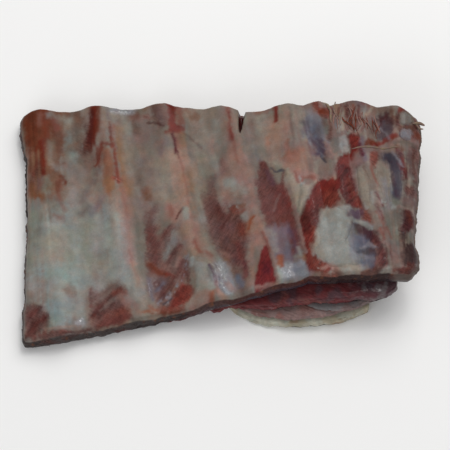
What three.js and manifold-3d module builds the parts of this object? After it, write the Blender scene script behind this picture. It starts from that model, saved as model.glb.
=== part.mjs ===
// Raw wild boar ribs: a rack of eight ribs, lying with its inner side up.
// The rib sheet is the meat and membrane round the ribs. It is thin and flat on the left, and on the
// right it rides up over the outer meat and fat, whose layers show under its front edge.
// Millimetres, +Z up, +X along the rack towards the thick end, +Y towards the sawn back edge.
// The origin is under the middle of the rack, on the surface it lies on.

import * as THREE from "three";
import { mergeVertices } from "three/addons/utils/BufferGeometryUtils.js";
import Module from "manifold-3d";

const wasm = await Module();
wasm.setup();

// ---- driving dimensions -------------------------------------------------------------------------

const THIN_END = { front: -117, back: -121.5 }; // x of the two ends' corners
const THICK_END = { front: 112.5, back: 120.5 };
const FRONT_RIGHT_Y = -45.5; // front edge along the thick end
const FRONT_SWEEP = 34; // how much further forward the thin end's corner lies
const FRONT_SWEEP_X = 50; // where that sweep begins
const FRONT_SWEEP_POWER = 1.08; // 1 is a straight sweep
const BACK_LEFT_Y = 73.5; // sawn back edge at the thin end's corner, between the ribs
const BACK_RISE = { by: 3, from: -120, to: -55 }; // it runs out a little up to the third rib,
const BACK_STEP = { by: 9, from: -35, to: 25 }; // falls in beyond it,
const BACK_SWEEP = { by: 8, from: 60, power: 1.5 }; // and falls in again at the thick end
const BACK_BUMP = 1.2; // how far the back edge stands out at each rib
const CORNER_PULL = 0.03; // share by which the outline's corners are drawn in
const CORNER_POWER = 12; // how close to the corner that pull begins
const EDGE_BULGE = 1.4; // how far the cut edges swell outwards

const SHEET_THICKNESS = 12; // meat between the ribs, from its underside to the membrane
const RIB_RISE = 4.5; // how far each rib lifts the membrane
const RIB_REACH = 9; // half width of that ridge
const RIB_FLATNESS = 2.4; // 2 is a bell shape, more is flatter on top
const RIM_DROP = 1.8; // rounding of the upper rim
const RIGHT_DROP = 5; // how far the thick end's last stretch slopes down
const RIGHT_DROP_REACH = 16; // and over what length

const LIFT = 26; // height of the outer layers under the thick end
const LIFT_FROM_X = -58;
const LIFT_TO_X = 92;

const GAP = 0.3; // between pieces that touch
const WELD = 1e-4; // vertices this close are one
const BONE_CENTRE = 8.6; // height of a rib's middle above the sheet's underside
const BONE_HEIGHT = 9;
const BONE_STICK_OUT = 0.8; // how far a sawn rib end stands out of the back edge
const BONE_FLARE = 0.1; // how much wider a rib is at its front end
const BONE_SIDES = 10;
const BONE_STEPS = 9;

// The knife cut in the back edge, beside the fourth rib.
const CUT = { tipX: 10.6, mouthX: 12.6, width: 4.8, length: 18, depth: 8, past: 6 };

const SHEET_COLUMNS = 4; // between one rib and the next
const SHEET_ROWS = 12;
const LAYER_COLUMNS = 14;
const LAYER_ROWS = 5;
const PAD_END = 1 / 3; // how far a pad reaches past its middle line, as a share of its width
const PAD_SEGMENTS = 14;
const PAD_RINGS = 8;

// Each rib's place along the back and the front edge, its bow towards the thick end, and its width.
const RIBS = [
  { back: -112, front: -95, bow: 1, width: 12.5 },
  { back: -77, front: -52, bow: 2, width: 12.5 },
  { back: -38, front: -6, bow: 1, width: 12.5 },
  { back: 1, front: 32, bow: 0, width: 12 },
  { back: 38, front: 55, bow: 2, width: 11 },
  { back: 60, front: 76, bow: 1, width: 10.5 },
  { back: 81, front: 95, bow: 1, width: 10 },
  { back: 106, front: 106.5, bow: 0, width: 9 },
];

// Fat pads on the inner side: the ends of each pad's middle line, its width and its height.
const FAT_PADS = [
  { name: "fat_pad_broad", from: [67, -36], to: [69.5, -12], width: 27, height: 4.2 },
  { name: "fat_pad_long", from: [80.5, 27], to: [89, -9], width: 8.5, height: 3.2 },
  { name: "fat_pad_neck", from: [94, 28], to: [98.5, 1], width: 10, height: 3.2 },
];

// Rounded gristle at the thick end's back corner.
const GRISTLE = [
  { name: "gristle_corner", from: [110, 55.5], to: [110, 52.5], width: 8, height: 3 },
  { name: "gristle_inner", from: [109.5, 45], to: [109.5, 42.5], width: 7, height: 2.8 },
];

// Outer layers: the surfaces between them rise towards the thick end, and their front edges bow out.
const LAYER_BULGE = 1.2;
const LAYER_RIM_DROP = 0.4;
const FAT = { x: [4, 87], frontY: -64, backInset: 6, height: 8, riseFrom: -20, riseTo: 60 };
const PINK = {
  x: [-14, 90],
  frontY: -61.5,
  backInset: 5,
  height: 14.5,
  riseFrom: -40,
  riseTo: 72,
  clearFrom: -2, // from here its underside clears the fat by the gap
  clearTo: 4,
};
const FASCIA = { x: [48, 91], frontY: -60, backInset: 9, thickness: 1.3, stepFrom: 30, stepTo: 46 };
const DARK = { x: [-34, 102], frontInset: 1, reach: 10.5, reachFrom: -10, reachTo: 45, backInset: 3.5 };
const FRONT_BOW = { middle: 47, reach: 48, depth: 7 };

// ---- shape of the rack ----------------------------------------------------------------------------

const clamp01 = (v) => Math.min(1, Math.max(0, v));
const mix = (a, b, t) => a + (b - a) * t;

function ease(from, to, v) {
  const t = clamp01((v - from) / (to - from));
  return t * t * (3 - 2 * t);
}

function frontY(x) {
  const share = clamp01((FRONT_SWEEP_X - x) / (FRONT_SWEEP_X - THIN_END.front));
  return FRONT_RIGHT_Y - FRONT_SWEEP * share ** FRONT_SWEEP_POWER;
}

function backY(x) {
  const share = clamp01((x - BACK_SWEEP.from) / (THICK_END.back - BACK_SWEEP.from));
  const rise = BACK_RISE.by * ease(BACK_RISE.from, BACK_RISE.to, x);
  const step = BACK_STEP.by * ease(BACK_STEP.from, BACK_STEP.to, x);
  return BACK_LEFT_Y + rise - step - BACK_SWEEP.by * share ** BACK_SWEEP.power;
}

// Where a rib's middle line is, from 0 at the front edge to 1 at the back edge.
function ribX(rib, along) {
  return mix(rib.front, rib.back, along) + rib.bow * Math.sin(Math.PI * along);
}

function alongAt(x, y) {
  return clamp01((y - frontY(x)) / (backY(x) - frontY(x)));
}

// 1 on a rib's crest, falling to 0 between the ribs.
function ridge(x, y) {
  const along = alongAt(x, y);
  const nearest = Math.min(...RIBS.map((rib) => Math.abs(x - ribX(rib, along))));
  return Math.exp(-((nearest / RIB_REACH) ** RIB_FLATNESS));
}

function undersideZ(x) {
  return LIFT * ease(LIFT_FROM_X, LIFT_TO_X, x);
}

// How far the surface has sloped down towards the thick end's edge.
function slopeDown(x) {
  return RIGHT_DROP * ease(THICK_END.back - RIGHT_DROP_REACH, THICK_END.back, x);
}

function topZ(x, y) {
  return undersideZ(x) + SHEET_THICKNESS + RIB_RISE * ridge(x, y) - slopeDown(x);
}

// ---- solids ---------------------------------------------------------------------------------------

// A geometry's bare shape, with the vertices merged that its seams and edges share.
function merge(geometry) {
  geometry.deleteAttribute("normal");
  geometry.deleteAttribute("uv");
  return mergeVertices(geometry, WELD);
}

// Merges a three.js geometry and moves each of its vertices.
function shaped(geometry, place) {
  const merged = merge(geometry);
  const position = merged.getAttribute("position");
  const point = new THREE.Vector3();
  for (let i = 0; i < position.count; i++) {
    place(point.fromBufferAttribute(position, i));
    position.setXYZ(i, point.x, point.y, point.z);
  }
  return merged;
}

function solidOf(geometry) {
  const mesh = new wasm.Mesh({
    numProp: 3,
    vertProperties: new Float32Array(geometry.getAttribute("position").array),
    triVerts: new Uint32Array(geometry.getIndex().array),
  });
  return new wasm.Manifold(mesh);
}

function geometryOf(solid) {
  const mesh = solid.getMesh();
  const geometry = new THREE.BufferGeometry();
  geometry.setAttribute("position", new THREE.BufferAttribute(mesh.vertProperties, 3));
  geometry.setIndex(new THREE.BufferAttribute(mesh.triVerts, 1));
  return geometry;
}

// Which side of a box from -1 to 1 a vertex is on: -1, 1, or 0 inside.
const sideOf = (v) => Math.trunc(v * (1 + WELD));

// A slab over a plan outline: x runs between two values, y between two edges that depend on x,
// and z between two surfaces. Its corners are drawn in and its cut edges swell.
function slab({ columns, rows, xAt, front, back, bottom, top, bulge, rimDrop }) {
  const box = new THREE.BoxGeometry(2, 2, 1, columns, rows, 2);
  return shaped(box, (p) => {
    const [a, b] = [p.x, p.y];
    const height = p.z + 0.5;
    const drawnX = a * (1 - CORNER_PULL * Math.abs(b) ** CORNER_POWER);
    const drawnY = b * (1 - CORNER_PULL * Math.abs(a) ** CORNER_POWER);
    const along = (drawnY + 1) / 2;
    const x = xAt((drawnX + 1) / 2, along);
    const swell = bulge * Math.sin(Math.PI * height);
    const y = mix(front(x), back(x), along);
    const sideX = sideOf(a);
    const sideY = sideOf(b);
    p.x = x + sideX * swell;
    p.y = y + sideY * swell;
    p.z = mix(bottom(x, y), top(x, y) - (sideX || sideY ? rimDrop : 0), height);
  });
}

// A rib as a tube with closed ends. The tunnel it lies in has the same stations, a little more room
// all round, and one more station past each end.
function ribGeometry(rib, spare, past) {
  const tube = new THREE.CylinderGeometry(1, 1, 1, BONE_SIDES, BONE_STEPS + 2 * past);
  return shaped(tube, (p) => {
    const along = ((p.y + 0.5) * (BONE_STEPS + 2 * past) - past) / BONE_STEPS;
    const middle = ribX(rib, along);
    const flare = 1 + BONE_FLARE * clamp01(1 - along) ** 3;
    p.set(
      middle + p.x * ((rib.width / 2) * flare + spare),
      mix(frontY(middle), backY(middle) + BACK_BUMP + BONE_STICK_OUT, along),
      undersideZ(middle) + BONE_CENTRE - slopeDown(middle) + p.z * (BONE_HEIGHT / 2 + spare),
    );
  });
}

// The sheet's columns follow the ribs, so that each ridge is as true as the next.
function sheetX(share, along) {
  const left = mix(THIN_END.front, THIN_END.back, along);
  const right = mix(THICK_END.front, THICK_END.back, along);
  const stations = [left, ...RIBS.map((rib) => ribX(rib, along)), right];
  const place = share * (stations.length - 1);
  const i = Math.min(stations.length - 2, Math.floor(place));
  return mix(stations[i], stations[i + 1], place - i);
}

function knifeCut() {
  const mouthY = backY(CUT.mouthX) + CUT.past;
  const outline = new THREE.Shape([
    new THREE.Vector2(CUT.mouthX - CUT.width / 2, mouthY),
    new THREE.Vector2(CUT.tipX, backY(CUT.mouthX) - CUT.length),
    new THREE.Vector2(CUT.mouthX + CUT.width / 2, mouthY),
  ]);
  const blade = new THREE.ExtrudeGeometry(outline, { depth: 2 * CUT.depth, bevelEnabled: false });
  blade.translate(0, 0, undersideZ(CUT.mouthX) + SHEET_THICKNESS - CUT.depth);
  return merge(blade);
}

function wholeSheet() {
  return solidOf(
    slab({
      columns: SHEET_COLUMNS * (RIBS.length + 1),
      rows: SHEET_ROWS,
      xAt: sheetX,
      front: frontY,
      back: (x) => backY(x) + BACK_BUMP * ridge(x, backY(x)),
      bottom: undersideZ,
      top: topZ,
      bulge: EDGE_BULGE,
      rimDrop: RIM_DROP,
    }),
  );
}

function ribSheet(whole) {
  const tunnels = RIBS.map((rib) => solidOf(ribGeometry(rib, GAP, 1)));
  return tunnels.reduce((left, tunnel) => left.subtract(tunnel), whole.subtract(solidOf(knifeCut())));
}

// A lump that lies on the membrane: an ellipsoid draped on it, less what would be under it.
function lump({ from, to, width, height }, whole) {
  const start = new THREE.Vector2(...from);
  const end = new THREE.Vector2(...to);
  const centre = start.clone().add(end).multiplyScalar(0.5);
  const axis = end.clone().sub(start).normalize();
  const reach = start.distanceTo(end) / 2 + width * PAD_END;
  const ball = shaped(new THREE.SphereGeometry(1, PAD_SEGMENTS, PAD_RINGS), (p) => {
    const [alongAxis, across] = [p.x * reach, (-p.z * width) / 2];
    const x = centre.x + axis.x * alongAxis - axis.y * across;
    const y = centre.y + axis.y * alongAxis + axis.x * across;
    p.set(x, y, topZ(x, y) + p.y * height);
  });
  const pieces = solidOf(ball).subtract(whole.translate(0, 0, GAP)).decompose();
  return pieces.reduce((largest, piece) => (piece.volume() > largest.volume() ? piece : largest));
}

// ---- outer layers, from the surface up ------------------------------------------------------------

function bowedFront(frontY) {
  const { middle, reach, depth } = FRONT_BOW;
  return (x) => frontY + depth * ((x - middle) / reach) ** 2;
}

const fatTop = (x) => FAT.height * ease(FAT.riseFrom, FAT.riseTo, x);
const pinkTop = (x) => PINK.height * ease(PINK.riseFrom, PINK.riseTo, x);
const fasciaBottom = (x) => pinkTop(x) + GAP;
const fasciaTop = (x) => fasciaBottom(x) + FASCIA.thickness;

// The dark meat lies on the pink meat, and steps up over the fascia where that begins.
function darkBottom(x) {
  const step = (FASCIA.thickness + GAP) * ease(FASCIA.stepFrom, FASCIA.stepTo, x);
  return fasciaBottom(x) + step;
}

const OUTER_LAYERS = {
  outer_fat: { ...FAT, front: bowedFront(FAT.frontY), bottom: () => 0, top: fatTop },
  outer_pink_meat: {
    ...PINK,
    front: bowedFront(PINK.frontY),
    bottom: (x) => fatTop(x) + GAP * ease(PINK.clearFrom, PINK.clearTo, x),
    top: pinkTop,
  },
  outer_fascia: { ...FASCIA, front: bowedFront(FASCIA.frontY), bottom: fasciaBottom, top: fasciaTop },
  outer_dark_meat: {
    ...DARK,
    front: (x) => frontY(x) + DARK.frontInset - DARK.reach * ease(DARK.reachFrom, DARK.reachTo, x),
    bottom: darkBottom,
    top: (x) => undersideZ(x) - GAP,
  },
};

function outerLayer({ x, front, backInset, bottom, top }) {
  return slab({
    columns: LAYER_COLUMNS,
    rows: LAYER_ROWS,
    xAt: (share) => mix(x[0], x[1], share),
    front,
    back: (at) => backY(at) - backInset,
    bottom,
    top,
    bulge: LAYER_BULGE,
    rimDrop: LAYER_RIM_DROP,
  });
}

// ---- materials and assembly -------------------------------------------------------------------------

const material = (color, roughness) =>
  new THREE.MeshStandardMaterial({ color, roughness, metalness: 0 });

const MEMBRANE = material(0x8f8077, 0.35);
const BONE = material(0xb3a898, 0.5);
const PAD_FAT = material(0xb2ae9f, 0.4);
const CARTILAGE = material(0xa8afb4, 0.3);
const LAYER_LOOKS = {
  outer_fat: material(0xb5ae98, 0.45),
  outer_pink_meat: material(0x94746a, 0.45),
  outer_fascia: material(0xb4b4ab, 0.35),
  outer_dark_meat: material(0x6a3c3b, 0.35),
};

const rack = new THREE.Group();

function add(name, geometry, look) {
  const mesh = new THREE.Mesh(geometry, look);
  mesh.name = name;
  rack.add(mesh);
}

const whole = wholeSheet();
add("rib_sheet", geometryOf(ribSheet(whole)), MEMBRANE);
RIBS.forEach((rib, i) => add(`rib_${i + 1}`, ribGeometry(rib, 0, 0), BONE));
for (const pad of FAT_PADS) add(pad.name, geometryOf(lump(pad, whole)), PAD_FAT);
for (const piece of GRISTLE) add(piece.name, geometryOf(lump(piece, whole)), CARTILAGE);
for (const [name, layer] of Object.entries(OUTER_LAYERS)) {
  add(name, outerLayer(layer), LAYER_LOOKS[name]);
}

export default rack;
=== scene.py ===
"""Raw wild boar ribs: the looks of a rack of eight ribs that lies with its inner side up.

Sizes and places are millimetres on the rack, and become metres when a mesh is made. A place on the
inner face is its station and how far along it is: station 0 is the thin end, 1 to 8 are the ribs and 9
is the thick end; along runs from 0 at the front edge to 1 at the sawn back edge. So the markings follow
the ribs. Their paths give both in hundredths.
"""

import itertools
import logging
import math
from collections.abc import Callable, Sequence
from dataclasses import dataclass, field
from enum import Enum

import bpy
import numpy as np
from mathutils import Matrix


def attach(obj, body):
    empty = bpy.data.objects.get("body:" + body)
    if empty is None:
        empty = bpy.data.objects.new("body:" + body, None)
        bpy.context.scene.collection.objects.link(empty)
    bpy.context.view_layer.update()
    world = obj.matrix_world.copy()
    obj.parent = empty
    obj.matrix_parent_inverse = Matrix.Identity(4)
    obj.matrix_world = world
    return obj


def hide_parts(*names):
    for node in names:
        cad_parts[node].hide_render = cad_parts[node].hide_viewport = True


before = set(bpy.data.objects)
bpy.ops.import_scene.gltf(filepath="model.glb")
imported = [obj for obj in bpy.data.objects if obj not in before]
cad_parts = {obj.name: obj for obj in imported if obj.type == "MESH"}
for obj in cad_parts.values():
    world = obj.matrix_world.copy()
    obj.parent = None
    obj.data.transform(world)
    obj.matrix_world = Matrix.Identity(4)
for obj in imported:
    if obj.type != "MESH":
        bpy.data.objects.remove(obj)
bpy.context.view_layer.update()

MM = 0.001
ROOT = "root"
Place = tuple[float, float]
Array = np.ndarray
log = logging.getLogger("ribs")


# ---- numbers ------------------------------------------------------------------------------------------


def ease(start: float, end: float, value: Array | float) -> Array:
    """Rises smoothly from 0 to 1.

    Args:
        start: Value at which the result leaves 0.
        end: Value at which it reaches 1.
        value: One number or an array.

    Returns:
        The share, of the same shape as value.
    """
    t = np.clip((value - start) / (end - start), 0.0, 1.0)
    return t * t * (3.0 - 2.0 * t)


def mix(a: Array | float, b: Array | float, share: Array | float) -> Array:
    """Goes in a straight line from a, at share 0, to b, at share 1."""
    return a + (b - a) * share


def lattice(points: Array, cell: float, seed: int) -> Array:
    """Smooth noise that is the same in each run.

    Args:
        points: Places in millimetres, one row each, in two or three dimensions.
        cell: Size of one lump of the noise.
        seed: Picks one of many patterns.

    Returns:
        A number from -1 to 1 for each place.
    """
    turned = points.copy()
    turned[:, :2] = points[:, :2] @ [[math.cos(seed), math.sin(seed)], [-math.sin(seed), math.cos(seed)]]
    scaled = turned / cell + 0.37 * seed
    base = np.floor(scaled).astype(np.int64)
    part = scaled - base
    part = part * part * (3.0 - 2.0 * part)
    primes = np.array([73856093, 19349663, 83492791])[: points.shape[1]]
    total = np.zeros(len(points))
    for corner in itertools.product((0, 1), repeat=points.shape[1]):
        key = ((base + corner) * primes).sum(1) ^ (seed * 668265263)
        key = (key ^ (key >> 13)) * 1274126177 & 0xFFFFFFFF
        key = (key ^ (key >> 16)) * 668265261 & 0xFFFFFFFF
        weight = np.where(corner, part, 1.0 - part).prod(1)
        total += weight * ((key >> 8 & 0xFFFF) / 32767.5 - 1.0)
    return total


def cloud(points: Array, cell: float, seed: int, octaves: int = 3) -> Array:
    """Adds finer and fainter noise to coarse noise.

    Args:
        points: Places in millimetres.
        cell: Size of the coarsest lumps.
        seed: Picks the pattern.
        octaves: How many layers there are, each half the size and strength of the one before.

    Returns:
        A number from about -1 to 1 for each place.
    """
    layers = range(octaves)
    total = sum(lattice(points, cell / 2**i, seed + 7 * i) / 2**i for i in layers)
    return total / sum(1 / 2**i for i in layers)


def linear(tone: Sequence[float]) -> Array:
    """Turns a tone of 0 to 255, as it looks, into the light that a surface gives back."""
    share = np.asarray(tone, float) / 255.0
    return np.where(share <= 0.04045, share / 12.92, ((share + 0.055) / 1.055) ** 2.4)


def turned(plan: Array, degrees: float) -> tuple[Array, Array]:
    """How far places are along and across a direction, in degrees from the rack's length."""
    turn = math.radians(degrees)
    return plan @ [math.cos(turn), math.sin(turn)], plan @ [-math.sin(turn), math.cos(turn)]


def ring_of(knots: Array) -> Array:
    """Closes a line, by carrying it on past both its ends."""
    return np.vstack([knots[-1:], knots, knots[:2]])


def rounded(knots: Array, steps: int) -> Array:
    """Rounds a line of straight spans.

    Args:
        knots: Its points, with one more before the first and after the last.
        steps: How many points to make of each span.

    Returns:
        A row of x and y for each point of the rounded line.
    """
    t = np.linspace(0, 1, steps, endpoint=False)[:, None]
    spans = []
    for a, b, c, d in zip(knots, knots[1:], knots[2:], knots[3:]):
        cubic = (2 * a - 5 * b + 4 * c - d) * t**2 + (3 * (b - c) + d - a) * t**3
        spans.append(b + 0.5 * ((c - a) * t + cubic))
    return np.vstack([*spans, knots[-2]])


def pull_corners(shares: Array, pull: float = 0.03, power: float = 12.0) -> Array:
    """Pulls in the corners of a square.

    Args:
        shares: Places on it, from 0 to 1 both ways.
        pull: How far a corner is pulled in, as a share.
        power: How near to the corner that begins.

    Returns:
        Two rows, for the shares along and across.
    """
    a, b = 2.0 * shares.T - 1.0
    u = (a * (1 - pull * np.abs(b) ** power) + 1) / 2
    v = (b * (1 - pull * np.abs(a) ** power) + 1) / 2
    return np.stack([u, v])


# ---- the rack's shape ---------------------------------------------------------------------------------


@dataclass(frozen=True)
class RibLine:
    """A rib's middle line across the rack.

    Attributes:
        back: Its place along the sawn back edge.
        front: Its place along the front edge.
        bow: How far it bows towards the thick end on the way.
        width: Width of the bone.
    """

    back: float
    front: float
    bow: float
    width: float

    def x_at(self, along: Array | float) -> Array:
        """Where the middle line is, from 0 at the front edge to 1 at the back edge."""
        return mix(self.front, self.back, along) + self.bow * np.sin(np.pi * along)


@dataclass(frozen=True)
class Rack:
    """The outline and the surfaces of the whole rack, which every piece is fitted to.

    Attributes:
        thin_end: The thin end's x at the front and at the back.
        thick_end: The thick end's x at the front and at the back.
        front_right: The front edge's y where it is straight.
        front_sweep: How far the front edge comes forward at the thin end.
        front_sweep_x: The x at which it begins to.
        front_sweep_power: How much of that comes late.
        back_left: The back edge's y at the thin end.
        back_rise: How far it goes back from there, and between which x.
        back_step: How far it comes forward again, and between which x.
        back_sweep: How far it comes forward at the thick end, from which x and how late.
        back_bump: How far a rib's end stands out of it.
        back_corner: The x at which the thin end's corner begins to round, its reach and its drop.
        thickness: Thickness between the ribs.
        rib_rise: Height of a rib's ridge over the middle of the rack and at the back edge.
        rib_reach: Half width of a ridge.
        rib_flatness: How flat its crest is.
        right_drop: How far the surface drops at the thick end.
        right_drop_reach: How far from that end it begins to drop.
        lift: How high the sheet rides up over the outer layers, and between which x.
        ribs: The ribs, from the thin end.
    """

    thin_end: Place = (-117.0, -121.5)
    thick_end: Place = (112.5, 120.5)
    front_right: float = -45.5
    front_sweep: float = 34.0
    front_sweep_x: float = 50.0
    front_sweep_power: float = 1.08
    back_left: float = 73.5
    back_rise: tuple[float, float, float] = (3.0, -120.0, -55.0)
    back_step: tuple[float, float, float] = (9.0, -35.0, 25.0)
    back_sweep: tuple[float, float, float] = (8.0, 60.0, 1.5)
    back_bump: float = 1.2
    back_corner: tuple[float, float, float] = (-110.0, 12.0, 2.5)
    thickness: float = 12.0
    rib_rise: tuple[float, float] = (3.9, 4.5)
    rib_reach: float = 9.0
    rib_flatness: float = 2.4
    right_drop: float = 5.0
    right_drop_reach: float = 16.0
    lift: tuple[float, float, float] = (26.0, -58.0, 92.0)
    ribs: tuple[RibLine, ...] = (
        RibLine(-112, -95, 1, 12.5),
        RibLine(-77, -52, 2, 12.5),
        RibLine(-38, -6, 1, 12.5),
        RibLine(1, 32, 0, 12),
        RibLine(38, 55, 2, 11),
        RibLine(60, 76, 1, 10.5),
        RibLine(81, 95, 1, 10),
        RibLine(106, 106.5, 0, 9),
    )
    follow_across = 24.0  # from one rib to the next, for streaks
    follow_along = 14.0  # from the front edge to the back edge

    def front_y(self, x: Array | float) -> Array:
        """The front edge, which sweeps forward towards the thin end."""
        share = np.clip((self.front_sweep_x - x) / (self.front_sweep_x - self.thin_end[0]), 0, 1)
        return self.front_right - self.front_sweep * share**self.front_sweep_power

    def back_y(self, x: Array | float) -> Array:
        """The sawn back edge, between the ribs.

        Args:
            x: Place along the rack.

        Returns:
            The edge's y.
        """
        rise, rise_from, rise_to = self.back_rise
        step, step_from, step_to = self.back_step
        sweep, sweep_from, power = self.back_sweep
        share = np.clip((x - sweep_from) / (self.thick_end[1] - sweep_from), 0, 1)
        risen = self.back_left + rise * ease(rise_from, rise_to, x)
        return risen - step * ease(step_from, step_to, x) - sweep * share**power

    def edge_y(self, x: Array) -> Array:
        """The back edge as it is cut, with its ribs' bumps and its rounded corner.

        Args:
            x: Places along the rack.

        Returns:
            The edge's y at each.
        """
        back = self.back_y(x)
        start, reach, drop = self.back_corner
        return back + self.back_bump * self.ridge(x, back) - drop * np.clip((start - x) / reach, 0, 1.1) ** 2

    def along(self, x: Array, y: Array) -> Array:
        """How far across the rack a place is, from 0 at the front edge to 1 at the back edge."""
        front = self.front_y(x)
        return np.clip((y - front) / (self.back_y(x) - front), 0, 1)

    def rib_distance(self, x: Array, y: Array) -> Array:
        """Distance along x to the nearest rib's middle line."""
        along = self.along(x, y)
        return np.min([np.abs(x - rib.x_at(along)) for rib in self.ribs], axis=0)

    def ridge(self, x: Array, y: Array) -> Array:
        """1 on a rib's crest, falling to 0 between the ribs."""
        return np.exp(-((self.rib_distance(x, y) / self.rib_reach) ** self.rib_flatness))

    def underside(self, x: Array | float) -> Array:
        """Height of the rib sheet's underside, which rides up over the outer layers."""
        height, start, end = self.lift
        return height * ease(start, end, x)

    def slope_down(self, x: Array | float) -> Array:
        """How far the surface has sloped down towards the thick end's edge."""
        start = self.thick_end[1] - self.right_drop_reach
        return self.right_drop * ease(start, self.thick_end[1], x)

    def top(self, x: Array, y: Array) -> Array:
        """Height of the membrane.

        Args:
            x: Places along the rack.
            y: Places across it.

        Returns:
            The height at each.
        """
        flat = self.underside(x) + self.thickness - self.slope_down(x)
        rise = mix(*self.rib_rise, ease(0.82, 0.98, self.along(x, y)))
        return flat + rise * self.ridge(x, y)

    def follow(self, x: Array, y: Array) -> Array:
        """Coordinates that follow the ribs, for streaks that are drawn out along them.

        Args:
            x: Places along the rack.
            y: Places across it.

        Returns:
            For each a row: how far it is across the ribs and, on a shorter scale, along them.
        """
        along = self.along(x, y)
        ends = [mix(*self.thin_end, along), mix(*self.thick_end, along)]
        lines = [ends[0], *(rib.x_at(along) for rib in self.ribs), ends[1]]
        stations = np.zeros_like(x)
        for left, right in zip(lines, lines[1:]):
            stations += np.clip((x - left) / (right - left), 0, 1)
        return np.stack([self.follow_across * stations, self.follow_along * along], axis=1)

    def spot(self, places: Sequence[int]) -> Array:
        """Finds where places on the inner face are.

        Args:
            places: Station and along by turns, in hundredths.

        Returns:
            A row of x and y for each, in millimetres. Places off the rack are carried on in line.
        """
        station, along = np.reshape(places, (-1, 2)).T / 100.0
        held = np.clip(along, 0, 1)
        ends = [mix(*self.thin_end, held), mix(*self.thick_end, held)]
        lines = np.array([ends[0], *(rib.x_at(held) for rib in self.ribs), ends[1]])
        left = np.clip(np.floor(station), 0, len(lines) - 2).astype(int)
        rows = np.arange(len(station))
        x = mix(lines[left, rows], lines[left + 1, rows], station - left)
        front = self.front_y(x)
        return np.stack([x, mix(front, self.back_y(x), along)], axis=1)


RACK = Rack()


# ---- tissues and markings -----------------------------------------------------------------------------


@dataclass(frozen=True)
class Tissue:
    """What one kind of flesh looks like.

    Attributes:
        tone: Its tone, 0 to 255 for each of red, green and blue.
        meat: How much it shows fibres, 0 to 1.
        fat: How much it shows the grain of fat, 0 to 1.
        wet: How glossy it is, 0 to 1.
    """

    tone: tuple[int, int, int]
    meat: float = 0.0
    fat: float = 0.0
    wet: float = 0.35


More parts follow.
